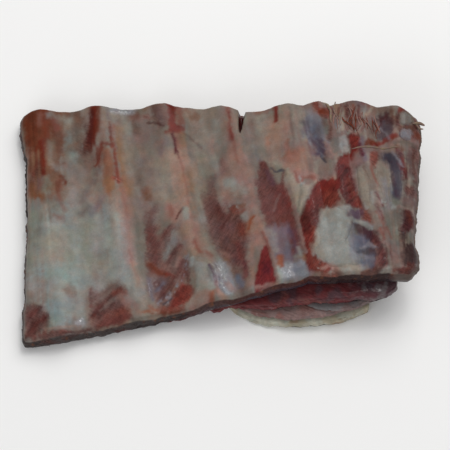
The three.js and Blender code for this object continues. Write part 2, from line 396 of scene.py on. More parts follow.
class T(Enum):
    """The tissues on the rack, as a butcher would tell them apart. Some tones also serve as painted light:
    pale and blue-white glints, and shade and shadow on the cut walls.
    """

    MEMBRANE = Tissue((116, 104, 96))
    # Also the tone of some painted glints.
    PALE = Tissue((136, 136, 131), fat=0.2)
    CREAM = Tissue((141, 130, 117), fat=0.3)
    CREAM_PINK = Tissue((147, 118, 104), fat=0.3)
    ROSE = Tissue((139, 106, 97), meat=0.1)
    ROSE_GREY = Tissue((115, 96, 91), meat=0.1)
    ROSE_DARK = Tissue((90, 62, 54), meat=0.3)
    GREY = Tissue((108, 103, 95), fat=0.1)
    GREEN_GREY = Tissue((113, 117, 107), fat=0.2)
    PALE_BLUE = Tissue((128, 139, 137), fat=0.2)
    OCHRE = Tissue((127, 94, 68), fat=0.2)
    ORANGE_SKIN = Tissue((133, 82, 60), fat=0.2)
    VALLEY_GREY = Tissue((97, 95, 89), meat=0.15)
    # Also the tone of some painted glints.
    BLUE_WHITE = Tissue((122, 121, 128), fat=0.1, wet=0.5)
    BLUE_GREY = Tissue((60, 55, 64), wet=0.5)
    BLUE_HAZE = Tissue((90, 93, 107), wet=0.5)
    MAUVE = Tissue((86, 64, 65), meat=0.2)
    BRUISE = Tissue((78, 58, 73), meat=0.1, wet=0.5)
    BRUISE_HAZE = Tissue((103, 88, 96), meat=0.1)
    PURPLE_DARK = Tissue((62, 44, 52), meat=0.2, wet=0.5)
    STAIN = Tissue((93, 47, 31), meat=0.15)
    STAIN_DARK = Tissue((95, 40, 22), meat=0.15)
    STAIN_BROWN = Tissue((105, 66, 45), meat=0.15)
    ORANGE = Tissue((124, 68, 46), fat=0.2)
    BLOOD = Tissue((92, 32, 20), wet=0.5)
    BLOOD_DARK = Tissue((60, 18, 16), wet=0.7)
    BLOOD_RED = Tissue((104, 34, 28), wet=0.6)
    RED_LINE = Tissue((117, 66, 57))
    CRIMSON = Tissue((82, 29, 38), meat=0.8, wet=0.55)
    CRIMSON_WET = Tissue((104, 37, 38), meat=0.8, wet=0.9)
    MUSCLE = Tissue((89, 54, 51), meat=0.9, wet=0.45)
    MUSCLE_PALE = Tissue((100, 71, 67), meat=0.7)
    MUSCLE_DARK = Tissue((75, 36, 32), meat=1.0, wet=0.5)
    MUSCLE_ORANGE = Tissue((108, 53, 43), meat=0.9, wet=0.45)
    MUSCLE_BRIGHT = Tissue((108, 42, 36), meat=0.9, wet=0.55)
    MUSCLE_HAZE = Tissue((95, 54, 51), meat=0.5)
    MUSCLE_RED = Tissue((88, 30, 29), meat=1.0, wet=0.5)
    MUSCLE_MAROON = Tissue((66, 25, 28), meat=1.0, wet=0.55)
    BROWN_BLOCK = Tissue((54, 36, 37), meat=0.6, wet=0.5)
    FAT_WHITE = Tissue((148, 149, 146), fat=1.0, wet=0.4)
    FAT_CREAM = Tissue((126, 115, 105), fat=0.8, wet=0.4)
    FAT_GREY = Tissue((98, 90, 83), fat=0.6, wet=0.4)
    FAT_YELLOW = Tissue((124, 108, 88), fat=0.8, wet=0.4)
    FAT_PINK = Tissue((120, 97, 93), fat=0.6, wet=0.4)
    RIB_END_GREY = Tissue((110, 100, 94), fat=0.2)
    # Tone of the cut walls: the meat's own dark grey, partly painted shade.
    CUT_GREY_AND_SHADE = Tissue((63, 56, 55), meat=0.8, wet=0.5)
    LAYER_FAT = Tissue((170, 168, 154), fat=0.9, wet=0.4)
    LAYER_CREAM = Tissue((148, 136, 112), fat=0.8, wet=0.4)
    LAYER_PEACH = Tissue((142, 112, 92), fat=0.7, wet=0.4)
    LAYER_PINK = Tissue((126, 104, 101), meat=0.5, wet=0.5)
    LAYER_RED = Tissue((122, 80, 74), meat=0.8, wet=0.5)
    LAYER_MAROON = Tissue((96, 44, 46), meat=0.8, wet=0.7)
    LAYER_GREY = Tissue((110, 105, 106), fat=0.4, wet=0.7)
    LAYER_PURPLE = Tissue((66, 56, 62), meat=0.5, wet=0.8)
    # Dark of the cut walls; also a painted shadow under the sheet's front edge.
    CUT_DARK_AND_SHADOW = Tissue((42, 30, 30), meat=1.0, wet=0.6)
    BONE = Tissue((148, 132, 114), fat=0.1, wet=0.3)
    MARROW = Tissue((104, 44, 36), fat=0.5, wet=0.6)
    GRISTLE = Tissue((108, 100, 103), fat=0.1, wet=0.6)


@dataclass
class Surface:
    """The painted state of a set of points, which becomes the attributes of a mesh.

    Attributes:
        spots: A row of x, y and z for each point, in millimetres.
        ground: The tissue that is everywhere until something is painted over it.
        tone: The light that each point gives back.
        meat: How much it shows fibres.
        fat: How much it shows the grain of fat.
        wet: How glossy it is.
        lean: Which way its fibres run, from 0 to 1.
        relief: How far it stands up.
        streaks: Noise that follows the ribs.
        frays: Finer noise, which frays the markings' edges.
    """

    spots: Array
    ground: T = T.MEMBRANE
    tone: Array = field(init=False)
    meat: Array = field(init=False)
    fat: Array = field(init=False)
    wet: Array = field(init=False)
    lean: Array = field(init=False)
    relief: Array = field(init=False)
    streaks: Array = field(init=False)
    frays: Array = field(init=False)

    def __post_init__(self) -> None:
        """Covers every point with the ground tissue."""
        count = len(self.spots)
        look = self.ground.value
        self.tone = np.tile(linear(look.tone), (count, 1))
        self.meat = np.full(count, look.meat)
        self.fat = np.full(count, look.fat)
        self.wet = np.full(count, look.wet)
        self.lean = np.zeros(count)
        self.relief = np.zeros(count)
        plan = self.spots[:, :2]
        self.streaks = cloud(RACK.follow(*plan.T), 3.2, 35, 3) + 0.5 * cloud(plan, 4.0, 36, 3)
        self.frays = cloud(RACK.follow(*plan.T), 1.7, 37, 2) + 0.7 * cloud(plan, 1.6, 38, 2)

    def cover(self, rows: Array, share: Array, tissue: T) -> None:
        """Paints a tissue over some of the points.

        Args:
            rows: Which points, as indices.
            share: How far the tissue hides what is there, 0 to 1, for each of them.
            tissue: The tissue to paint.
        """
        look = tissue.value
        self.tone[rows] = mix(self.tone[rows], linear(look.tone), share[:, None])
        self.meat[rows] = mix(self.meat[rows], look.meat, share)
        self.fat[rows] = mix(self.fat[rows], look.fat, share)
        self.wet[rows] = mix(self.wet[rows], look.wet, share)

    def wash(self, share: Array, tissue: T) -> None:
        """Paints a tissue over all the points, each by its own share."""
        self.cover(np.arange(len(self.spots)), np.clip(share, 0, 1), tissue)

    def vary(self, cell: float, strength: float, seed: int) -> None:
        """Makes the tone lighter here and darker there.

        Args:
            cell: Size of the lighter and darker places.
            strength: How much lighter and darker, as a share.
            seed: Picks the pattern.
        """
        self.tone *= (1.0 + strength * cloud(self.spots, cell, seed))[:, None]


@dataclass(frozen=True)
class Mark:
    """A place on the inner face that has a tissue's look.

    Attributes:
        tissue: What it looks like.
        path: Places that it runs through or round: station and along by turns, in hundredths.
        soft: Width of its blurred edge.
        amount: How far it hides what is under it.
        relief: How far it stands up, or sinks in where it is below 0.
        gloss: How wet it is, where that differs from its tissue. A stroke that has it is painted in specks,
            so that a pale one gives painted glints.
        grain: Direction of its fibres, in degrees from the rack's length.
    """

    tissue: T
    path: tuple[int, ...]
    soft: float = 2.0
    amount: float = 1.0
    relief: float = field(default=0.0, kw_only=True)
    gloss: float | None = field(default=None, kw_only=True)
    grain: float | None = field(default=None, kw_only=True)
    closed = False
    steps = 5
    blur = 0.7
    wander = 0.9

    def line(self) -> Array:
        """Rounds the path into a smooth line.

        Returns:
            A row of x and y for each of its points.
        """
        knots = RACK.spot(self.path)
        if self.closed:
            return rounded(ring_of(knots), self.steps)
        return rounded(np.vstack([2 * knots[0] - knots[1], knots, 2 * knots[-1] - knots[-2]]), self.steps)

    def outside(self, spots: Array, line: Array) -> Array:
        """Measures how far outside the mark points are.

        Args:
            spots: A row of x and y for each point.
            line: The mark's line.

        Returns:
            The distance of each, below 0 inside the mark.
        """
        raise NotImplementedError

    def reach(self) -> float:
        """How far from its line the mark can still be seen."""
        return (self.blur + self.wander) * self.soft

    def paint(self, surface: Surface, warped: Array) -> None:
        """Paints the mark.

        Args:
            surface: The points that are painted.
            warped: Their x and y, shifted a little so that no edge is too clean.
        """
        line = self.line()
        near = (warped > line.min(0) - self.reach()) & (warped < line.max(0) + self.reach())
        rows = np.nonzero(near.all(1))[0]
        if not len(rows):
            return
        spots = warped[rows]
        streaks, frays = surface.streaks[rows], surface.frays[rows]
        out = self.outside(spots, line) + self.soft * (0.5 * streaks + 0.45 * frays)
        share = 1.0 - ease(-self.blur * self.soft, self.blur * self.soft, out)
        # A wet stroke is painted in specks: pale ones are painted highlights, glints.
        if self.gloss is not None and not self.closed:
            share = share * ease(-0.1, 0.3, frays)  # a wet line glints in specks
        uneven = 1.0 + (0.4 * streaks + 0.3 * frays) * (1.1 - self.amount)
        surface.cover(rows, np.clip(self.amount * share * uneven, 0, 1), self.tissue)
        surface.relief[rows] += self.relief * share
        if self.gloss is not None:
            surface.wet[rows] = mix(surface.wet[rows], self.gloss, share)
        if self.grain is not None:
            surface.lean[rows] = mix(surface.lean[rows], self.grain / 90.0, share)


def to_line(spots: Array, line: Array) -> Array:
    """Measures how far spots are from a line.

    Args:
        spots: A row of x and y for each.
        line: The line's points.

    Returns:
        The distance of each spot.
    """
    nearest = np.full(len(spots), np.inf)
    for a, b in zip(line, line[1:]):
        span = b - a
        share = np.clip((spots - a) @ span / max(span @ span, 1e-9), 0, 1)
        nearest = np.minimum(nearest, ((spots - a - share[:, None] * span) ** 2).sum(1))
    return np.sqrt(nearest)


@dataclass(frozen=True)
class Stroke(Mark):
    """A mark along a line.

    Attributes:
        width: Its width.
    """

    width: float = 3.0

    def outside(self, spots: Array, line: Array) -> Array:
        """Distance outside the stroke, below 0 inside it."""
        return to_line(spots, line) - self.width / 2

    def reach(self) -> float:
        """How far from its line the stroke can still be seen."""
        return self.width / 2 + super().reach()


@dataclass(frozen=True)
class Patch(Mark):
    """A mark that fills an outline."""

    closed = True

    def outside(self, spots: Array, line: Array) -> Array:
        """Measures how far outside the outline points are.

        Args:
            spots: A row of x and y for each point.
            line: The outline.

        Returns:
            The distance of each, below 0 inside the outline.
        """
        x, y = spots.T
        inside = np.zeros(len(spots), bool)
        for a, b in zip(line, line[1:]):
            crosses = (a[1] > y) != (b[1] > y)
            rise = b[1] - a[1]
            at = a[0] + (y - a[1]) * (b[0] - a[0]) / (rise if rise else 1e-9)
            inside ^= crosses & (x < at)
        return np.where(inside, -1.0, 1.0) * to_line(spots, line)


# ---- the markings of the inner face, from the thin end to the thick end --------------------------------

GROUND: tuple[Mark, ...] = (
    # The pale membrane low on the thin half is partly a painted sheen.
    Patch(T.PALE, (22, 34, 80, 52, 138, 57, 188, 50, 206, 40, 208, 20, 197, 13, 147, 13, 139, 4, 62, 6,
        32, 18), 14.4, 0.9),
    Patch(T.CREAM, (65, 44, 115, 46, 130, 41, 124, 31, 91, 30, 55, 36), 8.4, 0.55),
    Patch(T.PALE_BLUE, (40, 30, 107, 29, 140, 28, 141, 20, 105, 22, 45, 26), 7.2, 0.8),
    Patch(T.PALE_BLUE, (79, 16, 111, 14, 114, 4, 81, 4, 66, 11), 5.4, 0.7),
    Patch(T.PALE_BLUE, (97, 50, 116, 50, 114, 43, 99, 44), 4.8, 0.4),
    Patch(T.PALE_BLUE, (126, 45, 144, 45, 138, 31, 124, 31), 5.4, 0.4),
    Patch(T.GREEN_GREY, (13, 61, 63, 57, 74, 48, 49, 38, 12, 34), 4.8, 0.6),
    Patch(T.PALE, (59, 49, 106, 49, 110, 39, 75, 37), 6, 0.4),
    Patch(T.PALE, (185, 51, 210, 48, 202, 37, 185, 38), 7.2, 0.75),
    Patch(T.PALE, (170, 32, 207, 23, 212, 8, 195, 14, 175, 21), 8.4, 0.85),
    Patch(T.GREY, (231, 48, 245, 48, 227, 26, 224, 8, 212, 10, 216, 32), 6, 0.35),
    Patch(T.ROSE_GREY, (236, 95, 296, 96, 297, 82, 267, 59, 245, 48, 229, 51, 233, 70, 231, 84), 6, 0.5),
    Patch(T.CREAM, (270, 79, 298, 76, 283, 53, 262, 52, 254, 62), 4.8, 0.4),
    Patch(T.FAT_CREAM, (341, 100, 401, 100, 391, 85, 365, 73, 336, 57, 329, 67, 337, 88), 6, 0.6),
    Stroke(T.OCHRE, (222, 89, 219, 74, 217, 60, 218, 51), 4.8, 0.4, 4.2),
    Stroke(T.OCHRE, (314, 84, 314, 72, 312, 59, 309, 49), 4.8, 0.35, 3.6),
    Stroke(T.GREY, (151, 56, 146, 44, 150, 32), 5.4, 0.5, 4.2),
    Stroke(T.ROSE, (210, 53, 210, 39, 210, 26), 4.8, 0.4, 3.6),
)

# Between the ribs: the grey strokes darken the valleys, partly as painted shade.
VALLEYS: tuple[Mark, ...] = (
    Stroke(T.GREEN_GREY, (149, 52, 146, 43, 144, 31), 7.2, 0.55, 7.2),
    Stroke(T.PALE, (171, 46, 167, 37), 7.2, 0.5, 7.2),
    Stroke(T.MAUVE, (156, 62, 149, 58), 3.6, 0.45, 3.6),
    Stroke(T.BRUISE_HAZE, (182, 58, 172, 55, 161, 52), 3, 0.5, 3),
    Stroke(T.MAUVE, (157, 55, 146, 52), 3, 0.45, 3),
    Stroke(T.MAUVE, (154, 26, 155, 22), 4.8, 0.35, 4.2),
    Stroke(T.GREY, (180, 34, 164, 30), 4.8, 0.35, 4.8),
    Stroke(T.ROSE_DARK, (168, 96, 160, 90, 160, 84), 5.4, 0.6, 5.4),
    Stroke(T.STAIN_BROWN, (162, 98, 166, 94), 4.8, 0.5, 4.8),
    Stroke(T.MAUVE, (151, 92, 146, 86), 3.6, 0.4, 3.6),
    Stroke(T.PALE_BLUE, (152, 81, 148, 78), 3.6, 0.5, 4.2),
    Stroke(T.GREEN_GREY, (143, 89, 136, 82), 6, 0.4, 6),
    Stroke(T.ROSE_GREY, (168, 76, 157, 68), 7.2, 0.45, 8.4),
    Stroke(T.GREY, (246, 80, 236, 71), 4.2, 0.5, 4.8),
    Stroke(T.PALE, (244, 94, 243, 88), 3, 0.5, 3.6),
    Stroke(T.ROSE_GREY, (256, 89, 254, 82), 4.8, 0.5, 4.8),
    Stroke(T.ROSE_DARK, (252, 92, 252, 88), 3, 0.5, 3.6),
    Stroke(T.STAIN, (249, 95, 259, 96), 3, 0.55, 4.2),
    Stroke(T.MUSCLE_ORANGE, (270, 95, 279, 94), 2.4, 0.5, 3),
    Stroke(T.STAIN_BROWN, (277, 100, 293, 99), 3.6, 0.5, 4.8),
    Stroke(T.GREY, (270, 84, 257, 74, 243, 66), 4.8, 0.5, 4.8),
    Stroke(T.ROSE_DARK, (244, 69, 237, 63), 4.2, 0.45, 4.2),
    Stroke(T.STAIN_BROWN, (246, 59, 245, 56), 3.6, 0.85, 5.4),
    Stroke(T.PALE_BLUE, (381, 91, 374, 83), 4.2, 0.4, 4.8),
    Stroke(T.GREY, (348, 78, 333, 65), 4.8, 0.4, 5.4),
    Stroke(T.GREY, (363, 78, 349, 64), 5.4, 0.5, 6),
    Stroke(T.ROSE, (369, 83, 363, 77), 3.6, 0.4, 3.6),
    Stroke(T.MUSCLE, (373, 71, 372, 67), 3, 0.75, 4.2),
    Stroke(T.MAUVE, (355, 64, 342, 56), 4.2, 0.55, 4.2),
    Stroke(T.STAIN_BROWN, (349, 95, 355, 95), 3, 0.6, 3.6),
    Stroke(T.MAUVE, (326, 86, 336, 83, 348, 79), 1.2, 0.5, 1.2),
)

STAIN_THIN_END: tuple[Mark, ...] = (
    Patch(T.STAIN_BROWN, (-17, 102, 138, 102, 142, 93, 129, 82, 128, 66, 119, 59, 49, 60, 13, 65, 4,
        83), 5.4, 0.75),
    Patch(T.STAIN, (-16, 101, 118, 101, 112, 87, 80, 81, 4, 85), 4.8, 0.85),
    Stroke(T.STAIN_DARK, (104, 99, 107, 94, 106, 88), 3.6, 0.85, 4.8),
    Stroke(T.STAIN_DARK, (38, 100, 22, 92, 31, 86), 3.6, 0.6, 4.2),
    Stroke(T.ROSE, (93, 97, 82, 93), 3, 0.35, 2.4),
    Stroke(T.STAIN, (121, 92, 125, 86), 4.2, 0.6, 4.8),
    Stroke(T.RED_LINE, (124, 95, 124, 92), 2.4, 0.8, 3),
    Stroke(T.PALE, (115, 97, 120, 98), 2.4, 0.5, 3),
    Stroke(T.STAIN, (131, 99, 145, 98), 3, 0.5, 3.6),
    Stroke(T.PALE, (133, 96, 146, 95), 3, 0.45, 3.6),
    Stroke(T.GREY, (111, 84, 111, 77), 3.6, 0.55, 3.6),
    Stroke(T.GREEN_GREY, (100, 69, 91, 62), 4.2, 0.6, 4.8),
    Stroke(T.BLOOD, (94, 85, 95, 81, 95, 77, 94, 71), 2.1, 0.95, 3),
    Stroke(T.BLOOD, (73, 84, 70, 82), 2.4, 0.6, 2.4),
    Stroke(T.MUSCLE_DARK, (66, 76, 49, 71, 35, 68), 3, 0.6, 3),
    Stroke(T.MAUVE, (75, 69, 59, 65), 3, 0.5, 3.6),
    Stroke(T.PALE, (110, 75, 117, 73), 3.6, 0.5, 4.2),
    Stroke(T.STAIN, (123, 83, 124, 77), 3.6, 0.55, 4.2),
    Stroke(T.STAIN_DARK, (124, 70, 127, 67), 2.1, 0.85, 3),
    Stroke(T.RED_LINE, (118, 68, 115, 62, 116, 58, 121, 55), 3, 0.5, 3),
    Stroke(T.STAIN_BROWN, (34, 67, 42, 63, 73, 61), 2.4, 0.8, 3.6),
    Stroke(T.STAIN_BROWN, (143, 83, 153, 83), 3, 0.5, 3.6),
    Stroke(T.ROSE_DARK, (164, 86, 156, 83), 3.6, 0.5, 3.6),
    Stroke(T.ORANGE, (105, 52, 114, 51), 2.4, 0.5, 3),
    Stroke(T.STAIN_BROWN, (113, 19, 121, 18), 3.6, 0.5, 4.8),
    Stroke(T.STAIN_BROWN, (21, 21, 23, 19), 3, 0.4, 3),
    Stroke(T.OCHRE, (39, 26, 76, 23), 3.6, 0.3, 3.6),
    Stroke(T.ROSE_GREY, (123, 16, 128, 13), 3.6, 0.35, 3.6),
    Stroke(T.STAIN, (54, 96, 54, 88, 45, 82), 3, 0.6, 2.4),
    Stroke(T.BLOOD, (60, 82, 58, 77, 40, 71), 1.8, 0.5, 1.8),
    Stroke(T.STAIN, (113, 67, 113, 62), 1.8, 0.6, 1.8),
    Stroke(T.BLOOD, (90, 86, 87, 79, 89, 71), 2.4, 0.7, 1.8),
    Stroke(T.STAIN, (34, 92, 35, 82, 27, 73), 2.4, 0.6, 1.8),
    Stroke(T.STAIN, (120, 70, 115, 63), 1.8, 0.7, 1.2),
)

RIB_2: tuple[Mark, ...] = (
    Stroke(T.STAIN_DARK, (202, 100, 197, 93, 190, 89), 3, 0.85, 4.8),
    Stroke(T.BLOOD, (195, 101, 189, 93, 181, 87, 174, 82), 2.4, 1, 4.2),
    Stroke(T.BLOOD_DARK, (190, 98, 182, 89, 175, 84), 1.8, 0.7, 1.8),
    Stroke(T.MUSCLE_DARK, (179, 92, 171, 83, 166, 80), 3, 0.7, 3),
    Stroke(T.ROSE_DARK, (168, 81, 159, 77), 4.2, 0.5, 4.8),
    Stroke(T.ROSE_GREY, (210, 98, 204, 89, 198, 84), 2.4, 0.7, 4.2),
    Stroke(T.OCHRE, (211, 97, 200, 85), 3.6, 0.3, 3.6),
    Stroke(T.BRUISE_HAZE, (215, 99, 215, 94), 2.4, 0.7, 3),
    Stroke(T.RED_LINE, (218, 91, 214, 84), 3, 0.6, 3.6),
    Stroke(T.BLOOD, (214, 92, 212, 87, 211, 83, 213, 80), 1.5, 0.8, 1.8),
    Patch(T.ORANGE_SKIN, (197, 79, 208, 78, 207, 67, 197, 60, 187, 60, 186, 68), 3.6, 0.75),
    Stroke(T.STAIN_DARK, (197, 80, 187, 74), 3, 0.5, 3.6),
    Stroke(T.BLOOD, (210, 81, 202, 82, 195, 82, 190, 79, 185, 76, 180, 73), 1.8, 0.8, 2.7),
    Stroke(T.ROSE_DARK, (176, 78, 170, 73), 3.6, 0.5, 4.2),
    Patch(T.OCHRE, (189, 67, 203, 66, 203, 60, 187, 60), 3.6, 0.5),
    Stroke(T.RED_LINE, (215, 84, 213, 78, 211, 73, 210, 67, 209, 64), 1.8, 0.9, 2.4),
    Stroke(T.BLOOD, (212, 79, 210, 71, 209, 66), 1.2, 0.6, 1.2),
    Stroke(T.MUSCLE_ORANGE, (205, 66, 212, 65), 1.8, 0.8, 3.6),
    Stroke(T.OCHRE, (226, 90, 221, 79, 219, 70, 219, 60), 3.6, 0.65, 3.6),
    Stroke(T.FAT_CREAM, (238, 94, 232, 82, 228, 68), 4.2, 0.5, 4.8),
    Stroke(T.ROSE, (212, 60, 211, 48, 210, 36, 207, 26), 4.2, 0.6, 4.8),
    Stroke(T.CREAM_PINK, (204, 58, 199, 53), 4.8, 0.6, 4.8),
    Stroke(T.RED_LINE, (210, 63, 212, 55, 213, 48), 1.8, 0.3, 1.8),
    Stroke(T.OCHRE, (228, 65, 222, 58), 3, 0.5, 3),
    Stroke(T.MAUVE, (181, 71, 174, 65), 3.6, 0.55, 4.2),
    Stroke(T.GREY, (226, 56, 222, 44, 219, 32), 4.8, 0.35, 4.8),
    Stroke(T.RED_LINE, (207, 32, 208, 26, 211, 21, 215, 16), 1.2, 0.35, 1),
    Stroke(T.CREAM_PINK, (210, 25, 212, 15), 3.6, 0.5, 3.6),
    Stroke(T.PALE, (214, 15, 209, 9), 4.2, 0.6, 4.8),
    Stroke(T.ROSE, (206, 6, 209, 3), 3.6, 0.5, 4.8),
    Stroke(T.CREAM, (218, 9, 218, 6), 1.8, 0.9, 3, relief=0.4, gloss=0.8),
    Stroke(T.ORANGE, (214, 3, 222, 3), 1.8, 0.8, 2.4),
    Stroke(T.ORANGE, (223, 5, 232, 3), 2.4, 0.7, 3),
    # Painted highlights: glints on the wet back edge.
    Patch(T.BLUE_WHITE, (224, 100, 258, 100, 253, 97, 234, 97, 218, 97), 2.4, 0.75, gloss=1),
    Stroke(T.BLUE_WHITE, (249, 98, 254, 99), 1.2, 0.9, 1.8, gloss=1),
)

RIB_3: tuple[Mark, ...] = (
    Patch(T.MUSCLE_PALE, (284, 101, 309, 101, 303, 89, 288, 90), 3, 0.5),
    Stroke(T.ROSE_DARK, (288, 99, 287, 92), 2.4, 0.6, 3),
    Stroke(T.MAUVE, (294, 97, 294, 93), 2.4, 0.5, 2.4),
    Patch(T.CREAM_PINK, (296, 77, 321, 77, 312, 51, 307, 33, 307, 25, 289, 24, 288, 35, 290, 50, 287,
        62), 5.4, 0.8),
    Stroke(T.RED_LINE, (329, 99, 326, 91), 3, 0.8, 4.2),
    Stroke(T.BLOOD_RED, (316, 100, 312, 94, 311, 88), 2.4, 0.95, 4.8),
    Stroke(T.BLOOD, (320, 100, 317, 96), 1.8, 0.9, 3),
    Stroke(T.BLOOD_RED, (308, 88, 326, 88), 2.4, 0.85, 3.6),
    Stroke(T.BLOOD_RED, (297, 86, 313, 86), 1.8, 0.7, 1.8),
    Stroke(T.BLOOD_DARK, (273, 92, 286, 91, 295, 89), 1.2, 0.7, 1.5),
    Stroke(T.RED_LINE, (314, 85, 309, 78), 3, 0.5, 4.2),
    Stroke(T.CRIMSON, (306, 85, 307, 80, 302, 75), 1.5, 0.9, 1.8),
    Stroke(T.CRIMSON, (305, 78, 306, 73), 1.2, 0.7, 1.5),
    Stroke(T.BRUISE_HAZE, (289, 81, 284, 78), 4.2, 0.5, 4.8),
    Stroke(T.OCHRE, (324, 85, 321, 80), 2.4, 0.5, 3),
    Stroke(T.RED_LINE, (308, 72, 307, 64, 305, 56, 303, 50), 1.5, 0.4, 1.5),
    Stroke(T.OCHRE, (316, 67, 313, 56), 2.4, 0.4, 2.4),
    Stroke(T.ROSE, (301, 49, 302, 39, 303, 28), 3, 0.5, 3),
    Stroke(T.FAT_CREAM, (325, 62, 320, 49), 3.6, 0.5, 3.6),
    Patch(T.ROSE, (270, 51, 288, 51, 290, 46, 279, 42, 266, 45), 3.6, 0.7),
    Stroke(T.RED_LINE, (275, 50, 276, 47), 2.1, 0.5, 2.4),
    Stroke(T.MUSCLE, (280, 44, 287, 46, 294, 48), 1.2, 0.8, 1.8),
    Stroke(T.PALE, (297, 47, 294, 43), 2.1, 0.9, 4.2, relief=0.3),
    Stroke(T.CREAM_PINK, (293, 39, 291, 31), 4.2, 0.65, 6),
    Stroke(T.RED_LINE, (298, 31, 298, 27, 301, 25), 1.8, 0.8, 2.4),
    Stroke(T.RED_LINE, (311, 25, 318, 23), 1.8, 0.6, 1.8),
)

RIB_4: tuple[Mark, ...] = (
    Patch(T.ROSE, (366, 70, 407, 76, 409, 48, 407, 33, 409, 24, 394, 20, 381, 27, 386, 41, 378, 50, 357,
        51), 6, 0.6),
    Stroke(T.ROSE, (403, 99, 400, 87, 398, 73), 4.8, 0.6, 6),
    Stroke(T.RED_LINE, (405, 99, 402, 91, 399, 83), 2.4, 0.7, 3),
    Stroke(T.BLOOD_RED, (406, 97, 402, 88, 401, 83), 1.5, 0.7, 1.5),
    Stroke(T.RED_LINE, (402, 82, 398, 73, 398, 70), 1.8, 0.5, 1.8),
    Stroke(T.ROSE, (407, 76, 404, 65), 2.4, 0.5, 2.4),
    Stroke(T.ROSE, (411, 83, 405, 71, 407, 56), 3, 0.5, 3),
    Stroke(T.ROSE, (407, 56, 403, 45), 3, 0.6, 3.6),
    Stroke(T.PALE, (374, 60, 388, 58, 396, 53), 4.2, 0.75, 5.4),
    Stroke(T.PALE, (376, 61, 382, 58), 1.8, 0.6, 2.4, gloss=0.8),
    Stroke(T.ROSE, (378, 65, 396, 64), 3, 0.5, 3.6),
    Stroke(T.ORANGE_SKIN, (391, 38, 378, 31), 3, 0.7, 3.6),
    Patch(T.ROSE, (401, 39, 409, 31, 397, 24, 387, 26), 3.6, 0.7),
    Stroke(T.ORANGE, (399, 39, 391, 37, 385, 33), 1.1, 0.85, 1.5),
    Stroke(T.ROSE, (394, 28, 380, 22, 373, 11, 368, 4), 3, 0.75, 4.8),
)

WINDOW_1: tuple[Mark, ...] = (
    Patch(T.MUSCLE, (9, 16, 55, 14, 76, 8, 64, 4, 14, 2, -2, 8), 3.6, 0.8, grain=40),
    Stroke(T.MUSCLE_DARK, (59, 9, 36, 7, 9, 3), 3, 0.85, 4.8),
    Stroke(T.MUSCLE_DARK, (43, 14, 20, 11), 3, 0.8, 3.6),
    Stroke(T.MUSCLE, (20, 3, 74, 1, 114, 0), 2.4, 0.8, 4.2),
    Stroke(T.MUSCLE_ORANGE, (61, 3, 107, 1), 2.4, 0.5, 2.4),
    Stroke(T.CREAM_PINK, (64, 4, 101, 3, 122, 3), 1.2, 0.6, 1.2),
    Stroke(T.MUSCLE_DARK, (114, 0, 141, 1), 1.8, 0.8, 2.4),
    # Painted highlight: a glint on the wet meat.
    Patch(T.BLUE_WHITE, (119, 5, 132, 6, 134, 3, 121, 3), 1.8, 0.6, gloss=0.85),
)

WINDOW_2: tuple[Mark, ...] = (
    Patch(T.MUSCLE_PALE, (146, 19, 159, 16, 181, 19, 195, 14, 198, 7, 196, 1, 181, 0, 147, 0, 139, 6),
        4.2, 0.8, grain=42),
    Patch(T.MUSCLE_ORANGE, (167, 7, 195, 7, 196, 1, 179, 0, 151, 1), 3.6, 0.7, grain=42),
    Stroke(T.MUSCLE, (146, 18, 144, 11), 2.4, 0.7, 3),
    Stroke(T.MUSCLE_DARK, (145, 6, 157, 9), 3, 0.9, 4.8),
    Stroke(T.MUSCLE, (154, 9, 172, 13, 187, 15), 1.8, 0.8, 3),
    Stroke(T.MUSCLE_ORANGE, (178, 15, 192, 13), 2.4, 0.6, 3),
    Stroke(T.MUSCLE, (153, 5, 168, 8, 176, 10), 1.8, 0.7, 2.4),
    Stroke(T.MUSCLE_HAZE, (160, 2, 177, 2, 193, 2), 2.4, 0.75, 4.2),
    Stroke(T.ROSE_GREY, (149, 12, 161, 14, 176, 16), 1.2, 0.6, 1.2),
    Stroke(T.ROSE_GREY, (157, 8, 171, 11, 180, 12), 1.2, 0.6, 1.5),
    Stroke(T.ROSE, (186, 12, 195, 7), 3, 0.6, 3),
    Stroke(T.ROSE, (197, 11, 203, 5), 3.6, 0.5, 3.6),
)

